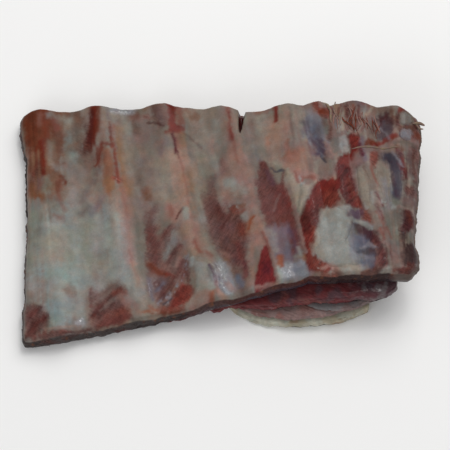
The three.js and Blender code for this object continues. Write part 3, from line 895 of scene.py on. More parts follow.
WINDOW_3: tuple[Mark, ...] = (
    Patch(T.MUSCLE_PALE, (244, 51, 258, 51, 256, 43, 280, 41, 277, 31, 280, 23, 278, 11, 258, 2, 235, 2,
        226, 13, 228, 26, 232, 39), 4.2, 0.75, grain=48),
    Patch(T.MUSCLE, (235, 43, 250, 42, 249, 36, 238, 26, 231, 28, 231, 36), 3, 0.85, grain=48),
    Stroke(T.MUSCLE_DARK, (235, 38, 240, 35), 3, 0.5, 3.6),
    Stroke(T.ROSE_DARK, (249, 50, 243, 45), 4.2, 0.6, 4.8),
    Stroke(T.GREY, (251, 39, 268, 43), 2.4, 0.6, 3),
    Stroke(T.MUSCLE, (269, 41, 260, 38, 250, 34), 2.4, 0.8, 3),
    Stroke(T.PALE, (275, 37, 263, 32, 255, 27), 3, 0.55, 4.2),
    Stroke(T.MUSCLE, (276, 30, 266, 28, 256, 24), 2.1, 0.85, 3),
    Stroke(T.MUSCLE, (245, 33, 241, 26), 3.6, 0.8, 4.2),
    Stroke(T.STAIN_DARK, (232, 25, 241, 21, 250, 19), 3, 0.85, 4.2),
    Stroke(T.MUSCLE_BRIGHT, (254, 19, 261, 17), 2.4, 0.7, 3),
    Stroke(T.ROSE, (278, 28, 282, 26), 3, 0.6, 3.6),
    Patch(T.MUSCLE, (269, 23, 283, 24, 281, 16, 267, 14, 258, 18), 3.6, 0.7, grain=48),
    Stroke(T.ROSE, (273, 25, 266, 22), 1.8, 0.7, 2.4),
    # Painted highlight: a glint.
    Stroke(T.PALE, (273, 25, 279, 25), 0.9, 0.8, 1.2, gloss=1),
    Stroke(T.ROSE_GREY, (276, 21, 265, 15), 1.8, 0.5, 1.8),
    Patch(T.MAUVE, (232, 18, 252, 17, 250, 12, 233, 10, 226, 13), 3, 0.6, gloss=0.8),
    Stroke(T.BLUE_HAZE, (246, 15, 234, 12), 1.8, 0.6, 2.4),
    Stroke(T.MUSCLE, (258, 14, 243, 10), 2.4, 0.7, 3),
    # Painted highlight: a band of glints on the wet meat.
    Stroke(T.BLUE_WHITE, (261, 10, 250, 7, 240, 4), 1.8, 0.75, 3, gloss=0.95, relief=0.3),
    Stroke(T.BLUE_GREY, (253, 7, 241, 5), 1.2, 0.7, 1.5),
    Patch(T.MUSCLE_BRIGHT, (269, 13, 281, 9, 278, 5, 265, 2, 248, 2, 252, 6), 2.4, 0.85, grain=48),
    Stroke(T.MUSCLE_ORANGE, (242, 2, 265, 1), 2.4, 0.7, 3.6),
    Stroke(T.BLUE_HAZE, (226, 18, 229, 8), 1.8, 0.5, 1.8),
    # Painted highlights: these two strokes are glints.
    Stroke(T.BLUE_WHITE, (234, 6, 245, 8, 257, 11, 267, 14), 1.8, 0.9, 2.4, gloss=1),
    Stroke(T.BLUE_WHITE, (276, 21, 284, 25, 273, 16), 1.8, 0.8, 1.8, gloss=1),
    Stroke(T.MUSCLE_MAROON, (238, 16, 246, 11), 3, 0.6, 2.4),
    Stroke(T.MUSCLE_DARK, (258, 8, 270, 10, 277, 14), 2.4, 0.7, 1.8),
    Stroke(T.MUSCLE_DARK, (237, 8, 250, 12, 258, 17), 3, 0.6, 3),
    Stroke(T.PURPLE_DARK, (241, 8, 251, 10), 2.4, 0.6, 1.8),
)

RIB_3_END: tuple[Mark, ...] = (
    Patch(T.PALE, (290, 21, 307, 21, 311, 12, 310, 5, 293, -2, 275, 0, 274, 4, 285, 8), 1.8, 0.8,
        relief=0.3),
    Patch(T.ROSE, (281, 7, 304, 5, 300, -1, 285, -1, 272, 0), 3, 0.6),
    Stroke(T.FAT_CREAM, (288, 23, 298, 21, 310, 20, 317, 17), 1.2, 0.9, 2.4, relief=0.5),
    Stroke(T.PALE, (288, 23, 287, 20), 1.5, 0.85, 3, relief=0.3),
    Stroke(T.BLUE_GREY, (307, 16, 308, 10), 1.8, 0.5, 1.8),
    Stroke(T.BRUISE, (310, 18, 312, 15, 313, 11, 312, 7), 0.9, 0.95, 1.5, relief=-0.3),
    Stroke(T.ROSE, (316, 11, 313, 4, 319, 0), 1.8, 0.8, 2.4, relief=0.4),
    Stroke(T.ORANGE, (305, 4, 299, -1), 2.1, 0.8, 3),
    Stroke(T.CREAM_PINK, (317, 2, 324, -1), 1.8, 0.8, 3, relief=0.4),
    Stroke(T.ROSE, (272, 0, 290, -1), 1.8, 0.8, 2.4),
)

FRONT_RIM: tuple[Mark, ...] = (
    Stroke(T.FAT_GREY, (198, 0, 221, 1, 247, 0, 272, -1), 1.2, 0.6, 1.5),
    Stroke(T.CREAM, (154, 0, 176, 0, 195, 0), 1.2, 0.6, 1.2),
    Stroke(T.ORANGE, (293, -1, 303, -1, 314, -1), 1.2, 0.6, 1.5),
    Stroke(T.STAIN_DARK, (224, 2, 242, 1, 267, 0), 1.2, 0.7, 1.2),
    Stroke(T.PALE, (90, -1, 119, 0, 143, 0), 0.9, 0.6, 1),
)

WINDOW_4: tuple[Mark, ...] = (
    Patch(T.MUSCLE_PALE, (348, 63, 359, 61, 355, 49, 382, 35, 359, 4, 340, 3, 340, 19, 331, 31, 325, 44,
        334, 55), 5.4, 0.6, grain=55),
    Patch(T.MUSCLE, (336, 55, 348, 52, 358, 45, 370, 48, 378, 42, 376, 28, 372, 20, 355, 14, 340, 19,
        326, 26, 324, 39), 3.6, 0.8, grain=55),
    Stroke(T.MUSCLE_DARK, (343, 49, 350, 43), 3, 0.6, 3.6),
    Stroke(T.MUSCLE_PALE, (348, 57, 338, 49), 3.6, 0.6, 4.2),
    Stroke(T.MUSCLE_PALE, (356, 46, 362, 49), 3, 0.6, 3),
    Stroke(T.MUSCLE_DARK, (371, 47, 358, 41, 345, 37), 1.8, 0.6, 2.4),
    Stroke(T.MUSCLE_ORANGE, (373, 36, 372, 31), 3, 0.7, 3.6),
    Stroke(T.PURPLE_DARK, (347, 31, 339, 25), 3.6, 0.35, 3.6),
    Stroke(T.MUSCLE_BRIGHT, (362, 27, 360, 20), 3.6, 0.4, 4.2),
    Stroke(T.ROSE, (335, 24, 348, 21), 2.4, 0.5, 2.4),
    Stroke(T.OCHRE, (337, 19, 340, 15), 3, 0.6, 3.6),
    Stroke(T.MUSCLE_PALE, (346, 18, 347, 13), 3.6, 0.5, 4.8),
    Patch(T.BLUE_WHITE, (318, 19, 334, 19, 342, 13, 338, 4, 323, 2, 314, 8, 313, 13), 3, 0.85, gloss=0.8),
    Stroke(T.ROSE, (331, 7, 334, 4), 2.4, 0.7, 3),
    # Painted highlights: these three pale strokes are glints.
    Stroke(T.PALE, (329, 11, 334, 10), 1.5, 0.9, 2.4, gloss=1, relief=0.3),
    Stroke(T.PALE, (320, 8, 321, 7), 1.2, 0.9, 1.8, gloss=1),
    Stroke(T.PALE, (333, 2, 340, 3), 1.2, 0.9, 1.8, gloss=1),
    Stroke(T.BLUE_HAZE, (349, 10, 349, 5), 2.4, 0.8, 4.2),
    Stroke(T.CRIMSON, (366, 16, 362, 9), 3, 0.7, 3.6),
    Stroke(T.RED_LINE, (372, 46, 383, 43), 2.4, 0.7, 3.6),
    Stroke(T.STAIN_BROWN, (376, 47, 388, 46), 1.5, 0.6, 1.8),
    # Painted highlight: a glint.
    Stroke(T.PALE, (374, 47, 376, 44), 1.2, 0.7, 1.8, gloss=1),
    Stroke(T.PALE, (384, 41, 385, 39), 1.8, 0.7, 3),
)

SPACE_5: tuple[Mark, ...] = (
    Patch(T.FAT_CREAM, (443, 100, 542, 100, 528, 72, 490, 57, 449, 68, 435, 77), 4.8, 0.55),
    Patch(T.CREAM_PINK, (469, 94, 504, 91, 487, 73, 457, 70, 456, 82), 4.8, 0.45),
    Stroke(T.CREAM_PINK, (467, 87, 468, 75, 475, 66), 4.8, 0.7, 5.4),
    Stroke(T.ROSE, (499, 96, 493, 82), 4.2, 0.5, 4.8),
    Stroke(T.FAT_PINK, (443, 97, 430, 83), 4.2, 0.5, 4.2),
    Stroke(T.BLUE_HAZE, (435, 77, 435, 72), 4.2, 0.35, 4.2),
    Stroke(T.GREY, (453, 87, 444, 76), 4.8, 0.4, 4.8),
    Stroke(T.RED_LINE, (453, 99, 469, 99), 2.4, 0.6, 3.6),
    Stroke(T.BLOOD_RED, (485, 100, 482, 95, 480, 92), 1.2, 0.9, 2.7),
    Stroke(T.MAUVE, (512, 98, 502, 84, 498, 75), 1.8, 0.45, 1.8),
    Stroke(T.FAT_PINK, (528, 97, 518, 84, 519, 74), 3, 0.5, 3),
    Stroke(T.ORANGE_SKIN, (460, 83, 460, 80), 2.4, 0.5, 3),
    Stroke(T.ORANGE, (491, 79, 487, 73), 2.4, 0.5, 3),
    Patch(T.ORANGE_SKIN, (474, 70, 490, 73, 524, 73, 506, 67, 486, 66), 3, 0.75),
    Patch(T.ROSE, (474, 69, 528, 72, 532, 59, 496, 55, 477, 63), 4.8, 0.7),
    Patch(T.CREAM, (447, 70, 475, 66, 492, 59, 483, 57, 462, 66), 3, 0.7, relief=0.3),
    Patch(T.MUSCLE_HAZE, (434, 69, 447, 68, 450, 60, 467, 55, 473, 45, 473, 30, 473, 18, 446, 12, 431,
        29, 414, 33, 414, 45, 421, 56), 3, 0.95, grain=62),
    Patch(T.MUSCLE, (433, 68, 446, 67, 435, 50, 421, 48, 421, 56), 3, 0.8, grain=62),
    Patch(T.MUSCLE, (445, 64, 460, 59, 450, 52, 437, 53), 3, 0.6),
    Stroke(T.BRUISE, (445, 64, 451, 57), 2.4, 0.5, 3),
    Patch(T.MUSCLE_HAZE, (459, 53, 473, 47, 470, 32, 449, 30, 438, 37, 447, 47), 3.6, 0.85, grain=62),
    Stroke(T.MUSCLE_BRIGHT, (468, 50, 471, 41), 3, 0.5, 3.6),
    Stroke(T.ROSE_GREY, (456, 50, 438, 41), 1.2, 0.5, 1.2),
    Stroke(T.GREY, (460, 64, 461, 58), 2.4, 0.75, 4.2),
    Stroke(T.BLUE_GREY, (451, 66, 459, 63, 471, 63, 476, 59), 0.7, 0.8, 1, relief=-0.3),
    Stroke(T.MUSCLE, (471, 61, 464, 55), 1.5, 0.7, 1.8),
    Patch(T.BRUISE_HAZE, (418, 32, 457, 31, 456, 18, 458, 10, 412, 11, 410, 21), 3.6, 0.85),
    Stroke(T.PALE, (422, 29, 420, 18), 3, 0.5, 3),
    Stroke(T.BLUE_HAZE, (445, 21, 439, 14), 3, 0.5, 3.6),
    Stroke(T.BRUISE, (464, 27, 466, 15), 3, 0.8, 4.2),
    Stroke(T.MUSCLE_HAZE, (466, 32, 468, 23, 475, 15), 1.8, 0.7, 2.4),
    Patch(T.BLUE_WHITE, (425, 10, 467, 10, 498, 7, 506, 3, 469, 0, 429, 0, 410, 2), 2.4, 0.9, gloss=0.8,
        relief=0.3),
    Stroke(T.BLUE_HAZE, (445, 6, 468, 5), 2.4, 0.4, 3),
    Stroke(T.ORANGE, (425, 14, 421, 9), 1.8, 0.9, 3.6),
    Stroke(T.OCHRE, (478, 12, 480, 9), 1.8, 0.8, 2.4),
    Stroke(T.PALE, (468, 17, 470, 13), 1.8, 0.7, 2.4),
)

WINDOW_5: tuple[Mark, ...] = (
    Patch(T.CRIMSON_WET, (403, 22, 406, 16, 405, 7, 397, 0, 378, 0, 367, 0, 376, 9, 385, 15, 394, 20),
        1.2, 0.97, grain=70, relief=-0.4, gloss=0.5),
    Patch(T.CRIMSON, (388, 13, 405, 13, 398, 6, 383, 7), 3, 0.6),
    Stroke(T.ROSE, (402, 29, 404, 23), 1.8, 0.8, 2.4),
    Stroke(T.FAT_PINK, (402, 29, 408, 23, 410, 15, 407, 7, 407, 1), 0.9, 0.9, 2.1, relief=0.4),
    Stroke(T.RED_LINE, (404, 29, 406, 23, 407, 18), 0.9, 0.7, 1.2),
    Stroke(T.PALE, (413, 8, 411, 1), 1.8, 0.8, 2.4),
    Stroke(T.ROSE, (370, 2, 384, 1, 399, 0), 1.2, 0.8, 1.8),
)

BRUISE_PATCH: tuple[Mark, ...] = (
    Patch(T.BLUE_HAZE, (551, 93, 583, 92, 598, 86, 590, 77, 567, 76, 541, 78, 534, 85), 3, 0.7),
    Patch(T.BRUISE, (542, 79, 575, 79, 586, 73, 575, 67, 548, 69, 535, 73), 2.4, 0.9),
    Stroke(T.BRUISE, (541, 89, 540, 83), 3, 0.6, 3.6),
    Stroke(T.PURPLE_DARK, (557, 72, 566, 70), 2.4, 0.4, 3),
    Stroke(T.BLUE_WHITE, (563, 95, 575, 90), 3, 0.5, 3.6),
    Stroke(T.MUSCLE_ORANGE, (577, 101, 580, 95), 1.8, 0.7, 2.4),
    Patch(T.MUSCLE_ORANGE, (585, 102, 598, 96, 627, 97, 628, 92, 608, 89, 587, 91, 580, 95), 1.8, 0.9,
        relief=-0.5),
    Stroke(T.STAIN_DARK, (593, 94, 612, 93), 1.8, 0.8, 3),
    Stroke(T.VALLEY_GREY, (601, 88, 596, 81), 2.4, 0.7, 3),
    Stroke(T.MUSCLE, (609, 90, 613, 86, 606, 80, 598, 77), 1.8, 0.75, 3),
    Stroke(T.ROSE_DARK, (592, 91, 595, 86), 1.8, 0.6, 2.4),
    Patch(T.ROSE_GREY, (529, 67, 564, 68, 599, 63, 597, 55, 547, 56, 526, 59), 2.4, 0.85),
    Stroke(T.VALLEY_GREY, (590, 66, 589, 59), 3, 0.6, 4.2),
    Stroke(T.CREAM, (557, 66, 544, 59), 2.4, 0.5, 3),
    Patch(T.FAT_PINK, (587, 74, 600, 70, 601, 65, 583, 65, 576, 68), 1.8, 0.9, relief=0.7),
    Stroke(T.BLUE_GREY, (567, 68, 577, 64), 0.7, 0.8, 1.2, relief=-0.4),
    Stroke(T.ROSE, (588, 75, 595, 71, 603, 68), 1.5, 0.7, 1.8),
    Stroke(T.BLUE_HAZE, (566, 86, 566, 79, 567, 71), 4.8, 0.6, 4.8),
    Stroke(T.PURPLE_DARK, (555, 81, 574, 73, 580, 67), 3, 0.6, 1.8),
    Stroke(T.BLUE_WHITE, (546, 83, 567, 76, 583, 71), 1.2, 0.5, 0.9),
    Stroke(T.BLUE_WHITE, (559, 88, 579, 80, 596, 75), 1.2, 0.45, 0.9),
    Stroke(T.ROSE, (481, 75, 514, 74, 552, 72), 4.8, 0.45, 4.8),
    Stroke(T.PURPLE_DARK, (567, 85, 568, 77, 571, 69), 4.2, 0.55, 3),
    Stroke(T.BLUE_WHITE, (541, 78, 557, 72, 575, 67), 1.2, 0.5, 0.9),
)

PALE_TISSUE: tuple[Mark, ...] = (
    Patch(T.ROSE_GREY, (636, 101, 670, 101, 657, 86, 654, 71, 627, 68, 607, 71, 612, 82), 1.8, 0.9,
        relief=0.4),
    Stroke(T.OCHRE, (640, 99, 640, 93), 1.8, 0.6, 2.4),
    Stroke(T.RED_LINE, (656, 100, 646, 93), 1.2, 0.7, 1.5),
    Stroke(T.CREAM, (659, 94, 644, 84), 1.8, 0.7, 2.4),
    Stroke(T.BLUE_HAZE, (641, 90, 626, 85), 1.5, 0.5, 1.8),
    Patch(T.VALLEY_GREY, (606, 76, 625, 78, 624, 71, 605, 69), 2.4, 0.8),
    Patch(T.PALE, (631, 78, 651, 80, 656, 74, 652, 69, 629, 70), 2.4, 0.6, relief=0.3, gloss=0.7),
    Stroke(T.RED_LINE, (663, 99, 661, 90), 0.9, 0.7, 1.2),
    Stroke(T.MUSCLE_DARK, (644, 96, 632, 87), 0.7, 0.6, 1),
    Stroke(T.PALE, (642, 89, 632, 82), 1.5, 0.6, 1.8),
)

FRAYED_MEAT: tuple[Mark, ...] = (
    Patch(T.ROSE_GREY, (676, 101, 737, 101, 732, 91, 700, 84, 670, 83, 666, 90), 2.4, 0.85),
    Stroke(T.MUSCLE_PALE, (672, 99, 664, 91), 1.8, 0.8, 3.6),
    Stroke(T.RED_LINE, (663, 90, 661, 84), 1.8, 0.8, 2.4),
    Stroke(T.RED_LINE, (689, 97, 678, 91), 1.2, 0.7, 1.8),
    Stroke(T.MUSCLE_ORANGE, (708, 93, 691, 87, 676, 83), 0.9, 0.7, 1.2),
    Stroke(T.MUSCLE, (689, 91, 687, 86), 1.5, 0.5, 1.8),
    Stroke(T.ROSE, (724, 94, 702, 86, 679, 80), 1.8, 0.8, 2.4),
    Stroke(T.BRUISE_HAZE, (692, 100, 712, 99), 2.4, 0.6, 3),
    Stroke(T.RED_LINE, (712, 99, 731, 98), 1.8, 0.6, 1.8),
    Stroke(T.ROSE, (666, 84, 675, 81), 1.8, 0.8, 2.4),
    Patch(T.FAT_PINK, (730, 96, 745, 96, 731, 81, 712, 79, 706, 85), 2.4, 0.7),
    Stroke(T.FAT_GREY, (733, 89, 724, 80), 2.4, 0.6, 3),
    Stroke(T.ROSE_DARK, (746, 98, 784, 96), 3, 0.7, 4.8),
    Patch(T.PURPLE_DARK, (751, 94, 778, 94, 786, 86, 774, 81, 745, 78, 736, 82, 746, 89), 2.4, 0.8),
    Stroke(T.ROSE_DARK, (783, 96, 791, 88), 2.4, 0.7, 3),
    Patch(T.STAIN_DARK, (705, 77, 728, 78, 737, 75, 706, 72, 699, 74), 1.8, 0.92),
    Stroke(T.BLOOD_RED, (726, 74, 750, 77, 779, 81, 790, 82), 1.8, 0.85, 3.6),
    Stroke(T.STAIN_DARK, (772, 77, 787, 81), 1.8, 0.7, 2.4),
    Stroke(T.MUSCLE_MAROON, (666, 98, 666, 92, 671, 86), 1.8, 0.8, 1.8),
    Stroke(T.MUSCLE_RED, (705, 97, 695, 91, 700, 84), 1.8, 0.7, 1.8),
    Stroke(T.FAT_PINK, (678, 99, 680, 93, 664, 88, 654, 83), 1.2, 0.7, 1.2),
    Stroke(T.FAT_PINK, (696, 98, 687, 92, 690, 86), 1.2, 0.7, 1.2),
    Stroke(T.PALE, (721, 98, 708, 91, 691, 84), 1.2, 0.5, 1.2),
    Stroke(T.MUSCLE_RED, (646, 63, 654, 66, 671, 71), 1.8, 0.7, 2.4),
    Stroke(T.CREAM, (736, 98, 710, 90, 684, 82), 1.2, 0.6, 1.8),
)

RED_MEAT: tuple[Mark, ...] = (
    Patch(T.MUSCLE_RED, (657, 81, 684, 79, 682, 71, 681, 64, 656, 58, 656, 48, 660, 39, 628, 37, 590,
        41, 563, 35, 523, 28, 511, 19, 497, 14, 528, 7, 549, 5, 533, 1, 485, 3, 481, 14, 478, 25, 478, 31,
        498, 39, 522, 48, 545, 54, 596, 54, 603, 61, 621, 67, 653, 70), 1.8, 0.96, grain=70),
    Patch(T.MUSCLE_MAROON, (604, 62, 645, 62, 638, 55, 601, 53), 3.6, 0.5, grain=70),
    Patch(T.MUSCLE_DARK, (490, 39, 535, 42, 534, 34, 499, 27, 481, 31), 4.2, 0.5, grain=60),
    Patch(T.MUSCLE_BRIGHT, (540, 54, 590, 54, 603, 49, 562, 48, 535, 49), 3.6, 0.75),
    Patch(T.MUSCLE_ORANGE, (562, 48, 596, 48, 588, 38, 572, 32, 551, 35, 544, 40), 4.2, 0.8, grain=70),
    Patch(T.BLOOD_RED, (654, 71, 687, 71, 680, 62, 650, 61, 618, 64), 2.4, 0.85),
    Patch(T.MUSCLE_BRIGHT, (660, 81, 685, 80, 686, 75, 662, 74), 2.4, 0.85),
    Stroke(T.MUSCLE_ORANGE, (510, 26, 505, 19), 3, 0.7, 3.6),
    Patch(T.MUSCLE_BRIGHT, (484, 22, 514, 24, 501, 12, 484, 14), 3.6, 0.6),
    Patch(T.MUSCLE_ORANGE, (484, 14, 507, 13, 552, 5, 519, 5, 488, 7), 3, 0.7),
    Patch(T.MUSCLE_ORANGE, (492, 6, 537, 7, 539, 1, 494, 1), 2.4, 0.6),
    # Painted highlight: a glint.
    Stroke(T.PALE, (498, 4, 508, 3), 0.9, 0.5, 1.2, gloss=1),
    Stroke(T.RED_LINE, (590, 47, 593, 38), 1.8, 0.5, 1.8),
    Stroke(T.FAT_CREAM, (598, 47, 601, 43, 607, 40), 1.2, 0.7, 1.8, relief=0.3),
    Stroke(T.MUSCLE_ORANGE, (637, 53, 641, 44, 649, 40), 3, 0.6, 4.2),
    Stroke(T.MUSCLE_DARK, (616, 47, 623, 38), 2.4, 0.5, 3),
    Patch(T.MUSCLE_ORANGE, (654, 39, 674, 35, 687, 30, 679, 27, 659, 30), 2.4, 0.85),
    Patch(T.MUSCLE_HAZE, (662, 27, 687, 21, 723, 11, 715, 3, 667, 2, 668, 13, 650, 19, 636, 24), 3,
        0.75, grain=120),
    Stroke(T.MUSCLE_HAZE, (672, 9, 668, 5), 3.6, 0.6, 4.2),
    Stroke(T.MUSCLE_BRIGHT, (703, 10, 700, 3), 2.4, 0.8, 3.6),
    Stroke(T.MUSCLE_RED, (534, 48, 559, 51, 590, 47), 3.6, 0.7, 4.8),
    Stroke(T.BLOOD_RED, (508, 39, 531, 45, 571, 51), 3.6, 0.6, 3.6),
)

WHITE_TRIANGLE: tuple[Mark, ...] = (
    Patch(T.ROSE, (475, 66, 497, 61, 549, 58, 540, 54, 511, 55, 494, 52, 487, 57), 1.8, 0.9),
    Patch(T.CREAM, (480, 63, 489, 55, 502, 51, 540, 54, 515, 47, 492, 39, 480, 35, 475, 40, 474, 48,
        472, 56), 1.8, 0.92, relief=0.5),
    Stroke(T.ROSE_GREY, (474, 54, 478, 47, 479, 36), 1.5, 0.7, 1.8),
    Stroke(T.GREY, (495, 51, 492, 45, 485, 40, 481, 37), 1.2, 0.8, 2.1),
    # Painted highlight: a glint.
    Stroke(T.PALE, (497, 56, 498, 52), 1.5, 0.9, 2.4, gloss=1),
    Stroke(T.RED_LINE, (505, 55, 530, 56), 1.8, 0.7, 2.4),
    Stroke(T.RED_LINE, (490, 60, 492, 53), 0.9, 0.6, 1.2),
    Stroke(T.FAT_PINK, (476, 41, 478, 32, 480, 23, 483, 13), 0.9, 0.9, 1.8, relief=0.3),
)

NECK: tuple[Mark, ...] = (
    Patch(T.ROSE_GREY, (676, 71, 718, 72, 776, 74, 785, 66, 730, 38, 767, 21, 795, 5, 733, 1, 721, 18,
        684, 33, 656, 48, 643, 60), 3.6, 0.8),
    Patch(T.FAT_CREAM, (673, 61, 695, 60, 702, 47, 714, 37, 686, 35, 663, 43, 655, 54), 1.8, 0.92),
    Stroke(T.CREAM, (674, 56, 677, 46, 682, 38), 2.4, 0.6, 3),
    Patch(T.FAT_CREAM, (731, 66, 760, 62, 769, 54, 763, 42, 733, 42, 718, 50, 713, 59), 1.8, 0.92),
    Stroke(T.GREY, (747, 61, 745, 49), 3, 0.5, 3.6),
    Stroke(T.FAT_CREAM, (697, 68, 705, 58, 717, 49, 740, 41), 1.8, 0.8, 3, relief=0.4),
    Stroke(T.RED_LINE, (705, 65, 705, 58, 718, 50), 1, 0.8, 1.2),
    Stroke(T.CRIMSON, (704, 46, 718, 42, 726, 38), 1, 0.7, 1.2),
    Patch(T.MUSCLE_ORANGE, (713, 70, 732, 71, 728, 66, 717, 60, 709, 65), 1.8, 0.9),
    Stroke(T.BRUISE_HAZE, (694, 78, 690, 71, 693, 65), 1.8, 0.8, 2.4),
    Stroke(T.CRIMSON, (685, 74, 688, 68), 1.5, 0.85, 2.4),
    Patch(T.BLUE_GREY, (750, 72, 776, 72, 798, 68, 804, 59, 805, 48, 791, 42, 763, 44, 769, 54, 760, 62,
        744, 67), 2.4, 0.95),
    Stroke(T.BLUE_HAZE, (760, 50, 765, 47), 1.8, 0.5, 2.4),
    Stroke(T.VALLEY_GREY, (750, 44, 790, 40), 3, 0.7, 4.2),
    Patch(T.CRIMSON, (788, 74, 808, 72, 827, 64, 843, 57, 813, 55, 797, 63), 2.4, 0.9),
    Stroke(T.BLOOD_RED, (807, 68, 826, 60), 1.8, 0.6, 2.4),
    Patch(T.MAUVE, (829, 75, 865, 77, 866, 60, 843, 58), 2.4, 0.8),
    Stroke(T.ROSE_GREY, (700, 72, 742, 73, 771, 74), 1.8, 0.7, 3),
    Stroke(T.VALLEY_GREY, (729, 37, 739, 29, 757, 19), 1.8, 0.6, 2.4),
    Stroke(T.RED_LINE, (698, 35, 714, 29, 725, 23), 0.9, 0.6, 1.2),
    Stroke(T.BLUE_WHITE, (776, 72, 816, 63), 1.2, 0.6, 1.5),
    Stroke(T.PURPLE_DARK, (757, 68, 773, 65), 1.8, 0.6, 2.4),
    Stroke(T.PURPLE_DARK, (769, 56, 777, 51), 1.8, 0.6, 2.4),
    Stroke(T.PURPLE_DARK, (779, 48, 781, 45), 1.8, 0.6, 2.4),
    Stroke(T.MUSCLE_MAROON, (726, 82, 746, 89, 768, 94), 3, 0.6, 2.4),
    Stroke(T.BLUE_WHITE, (732, 91, 755, 85, 773, 80), 1.2, 0.5, 1.2),
    Stroke(T.ORANGE, (797, 92, 823, 99, 859, 100), 2.4, 0.7, 2.4),
    Stroke(T.MUSCLE_DARK, (788, 35, 785, 27, 800, 21), 1.8, 0.6, 1.8),
    Stroke(T.ROSE_DARK, (684, 61, 695, 49, 708, 39, 726, 29), 1.5, 0.5, 1),
    Stroke(T.BLUE_WHITE, (742, 54, 743, 45, 754, 39), 3, 0.6, 3),
    Stroke(T.FAT_WHITE, (694, 46, 695, 39), 2.4, 0.5, 2.4),
    Stroke(T.MUSCLE_DARK, (821, 62, 819, 54, 829, 47), 2.4, 0.6, 2.4),
    Stroke(T.MUSCLE_MAROON, (741, 89, 763, 92, 782, 90), 3, 0.5, 3),
)

RIGHT_EDGE: tuple[Mark, ...] = (
    Patch(T.MUSCLE, (793, 96, 859, 102, 911, 97, 934, 85, 918, 79, 946, 35, 876, 36, 870, 77, 811, 85,
        791, 88), 2.4, 0.9),
    Stroke(T.BLOOD_RED, (805, 97, 850, 101), 1.8, 0.8, 2.4),
    Stroke(T.STAIN_DARK, (897, 87, 908, 81), 3, 0.85, 4.8),
    Stroke(T.ROSE_DARK, (799, 86, 840, 88, 877, 92), 1.5, 0.8, 3),
    Stroke(T.FAT_PINK, (743, 74, 789, 78, 849, 80, 889, 83), 1.8, 0.8, 3, relief=0.4),
    Stroke(T.ROSE_GREY, (819, 76, 860, 76), 2.4, 0.7, 2.4),
    Stroke(T.STAIN, (794, 75, 808, 74), 1.8, 0.6, 2.4),
    Stroke(T.FAT_GREY, (825, 54, 907, 57), 2.4, 0.6, 3),
    Patch(T.MUSCLE, (824, 51, 920, 54, 924, 47, 835, 46), 2.4, 0.8),
    Patch(T.MAUVE, (799, 45, 912, 47, 915, 40, 808, 39), 3, 0.7),
    Stroke(T.VALLEY_GREY, (751, 34, 759, 23, 772, 16), 3, 0.6, 3),
    # A pale sinew, painted in specks that are partly painted glints.
    Stroke(T.PALE, (728, 41, 754, 39, 789, 37), 1.8, 0.85, 3, gloss=1, relief=0.4),
    Stroke(T.FAT_PINK, (782, 38, 848, 37, 890, 36), 1.2, 0.7, 1.8, relief=0.3),
    Patch(T.FAT_GREY, (763, 36, 797, 37, 794, 27, 769, 27), 2.4, 0.7),
    Patch(T.MUSCLE_MAROON, (801, 36, 861, 37, 891, 31, 847, 24, 800, 20, 784, 23, 794, 29), 1.8, 0.92),
    Patch(T.STAIN_DARK, (834, 35, 869, 33, 862, 27), 3, 0.5),
    Patch(T.FAT_GREY, (800, 21, 862, 25, 923, 27, 929, 20, 830, 17, 812, 14), 1.8, 0.85, relief=0.3),
    Patch(T.BROWN_BLOCK, (805, 16, 937, 19, 948, 8, 794, 4), 1.5, 0.95),
    Patch(T.BROWN_BLOCK, (784, 23, 815, 21, 798, 15), 1.8, 0.85),
    Stroke(T.ROSE_DARK, (790, 18, 785, 5), 2.4, 0.5, 2.4),
    Stroke(T.RED_LINE, (702, 25, 714, 20), 1.8, 0.75, 3),
    Stroke(T.CRIMSON, (701, 39, 716, 31), 1.8, 0.6, 2.4),
    Stroke(T.ROSE, (712, 18, 742, 12, 766, 6), 1.8, 0.6, 2.4),
    Stroke(T.RED_LINE, (728, 26, 749, 20), 1.2, 0.6, 1.2),
    Patch(T.MUSCLE_DARK, (734, 2, 794, 3, 864, 6, 977, 8, 990, 0, 864, -2, 772, -1), 2.4, 0.92),
    Stroke(T.PALE, (683, 0, 714, 2), 2.4, 0.8, 3.6, relief=0.3),
    Patch(T.MUSCLE_DARK, (604, 0, 673, 3, 696, 2, 670, -2, 615, -2), 1.8, 0.7),
    Patch(T.GREY, (809, 96, 854, 99, 859, 93, 812, 89), 1.8, 0.85),
    Stroke(T.PALE, (823, 95, 822, 91), 1.2, 0.6, 1.8),
    Patch(T.BLUE_WHITE, (816, 86, 854, 88, 854, 83, 815, 81), 1.5, 0.8),
    Stroke(T.RED_LINE, (868, 99, 886, 95), 1.2, 0.6, 1.2),
    Stroke(T.BLOOD_DARK, (859, 93, 887, 91), 0.9, 0.7, 1.2),
    Stroke(T.MUSCLE_DARK, (870, 77, 871, 64, 884, 57), 1.8, 0.7, 2.4),
    Stroke(T.MAUVE, (839, 73, 849, 62), 1.2, 0.6, 1.8),
    Stroke(T.FAT_GREY, (789, 77, 829, 79, 869, 79), 1.8, 0.7, 2.4),
)

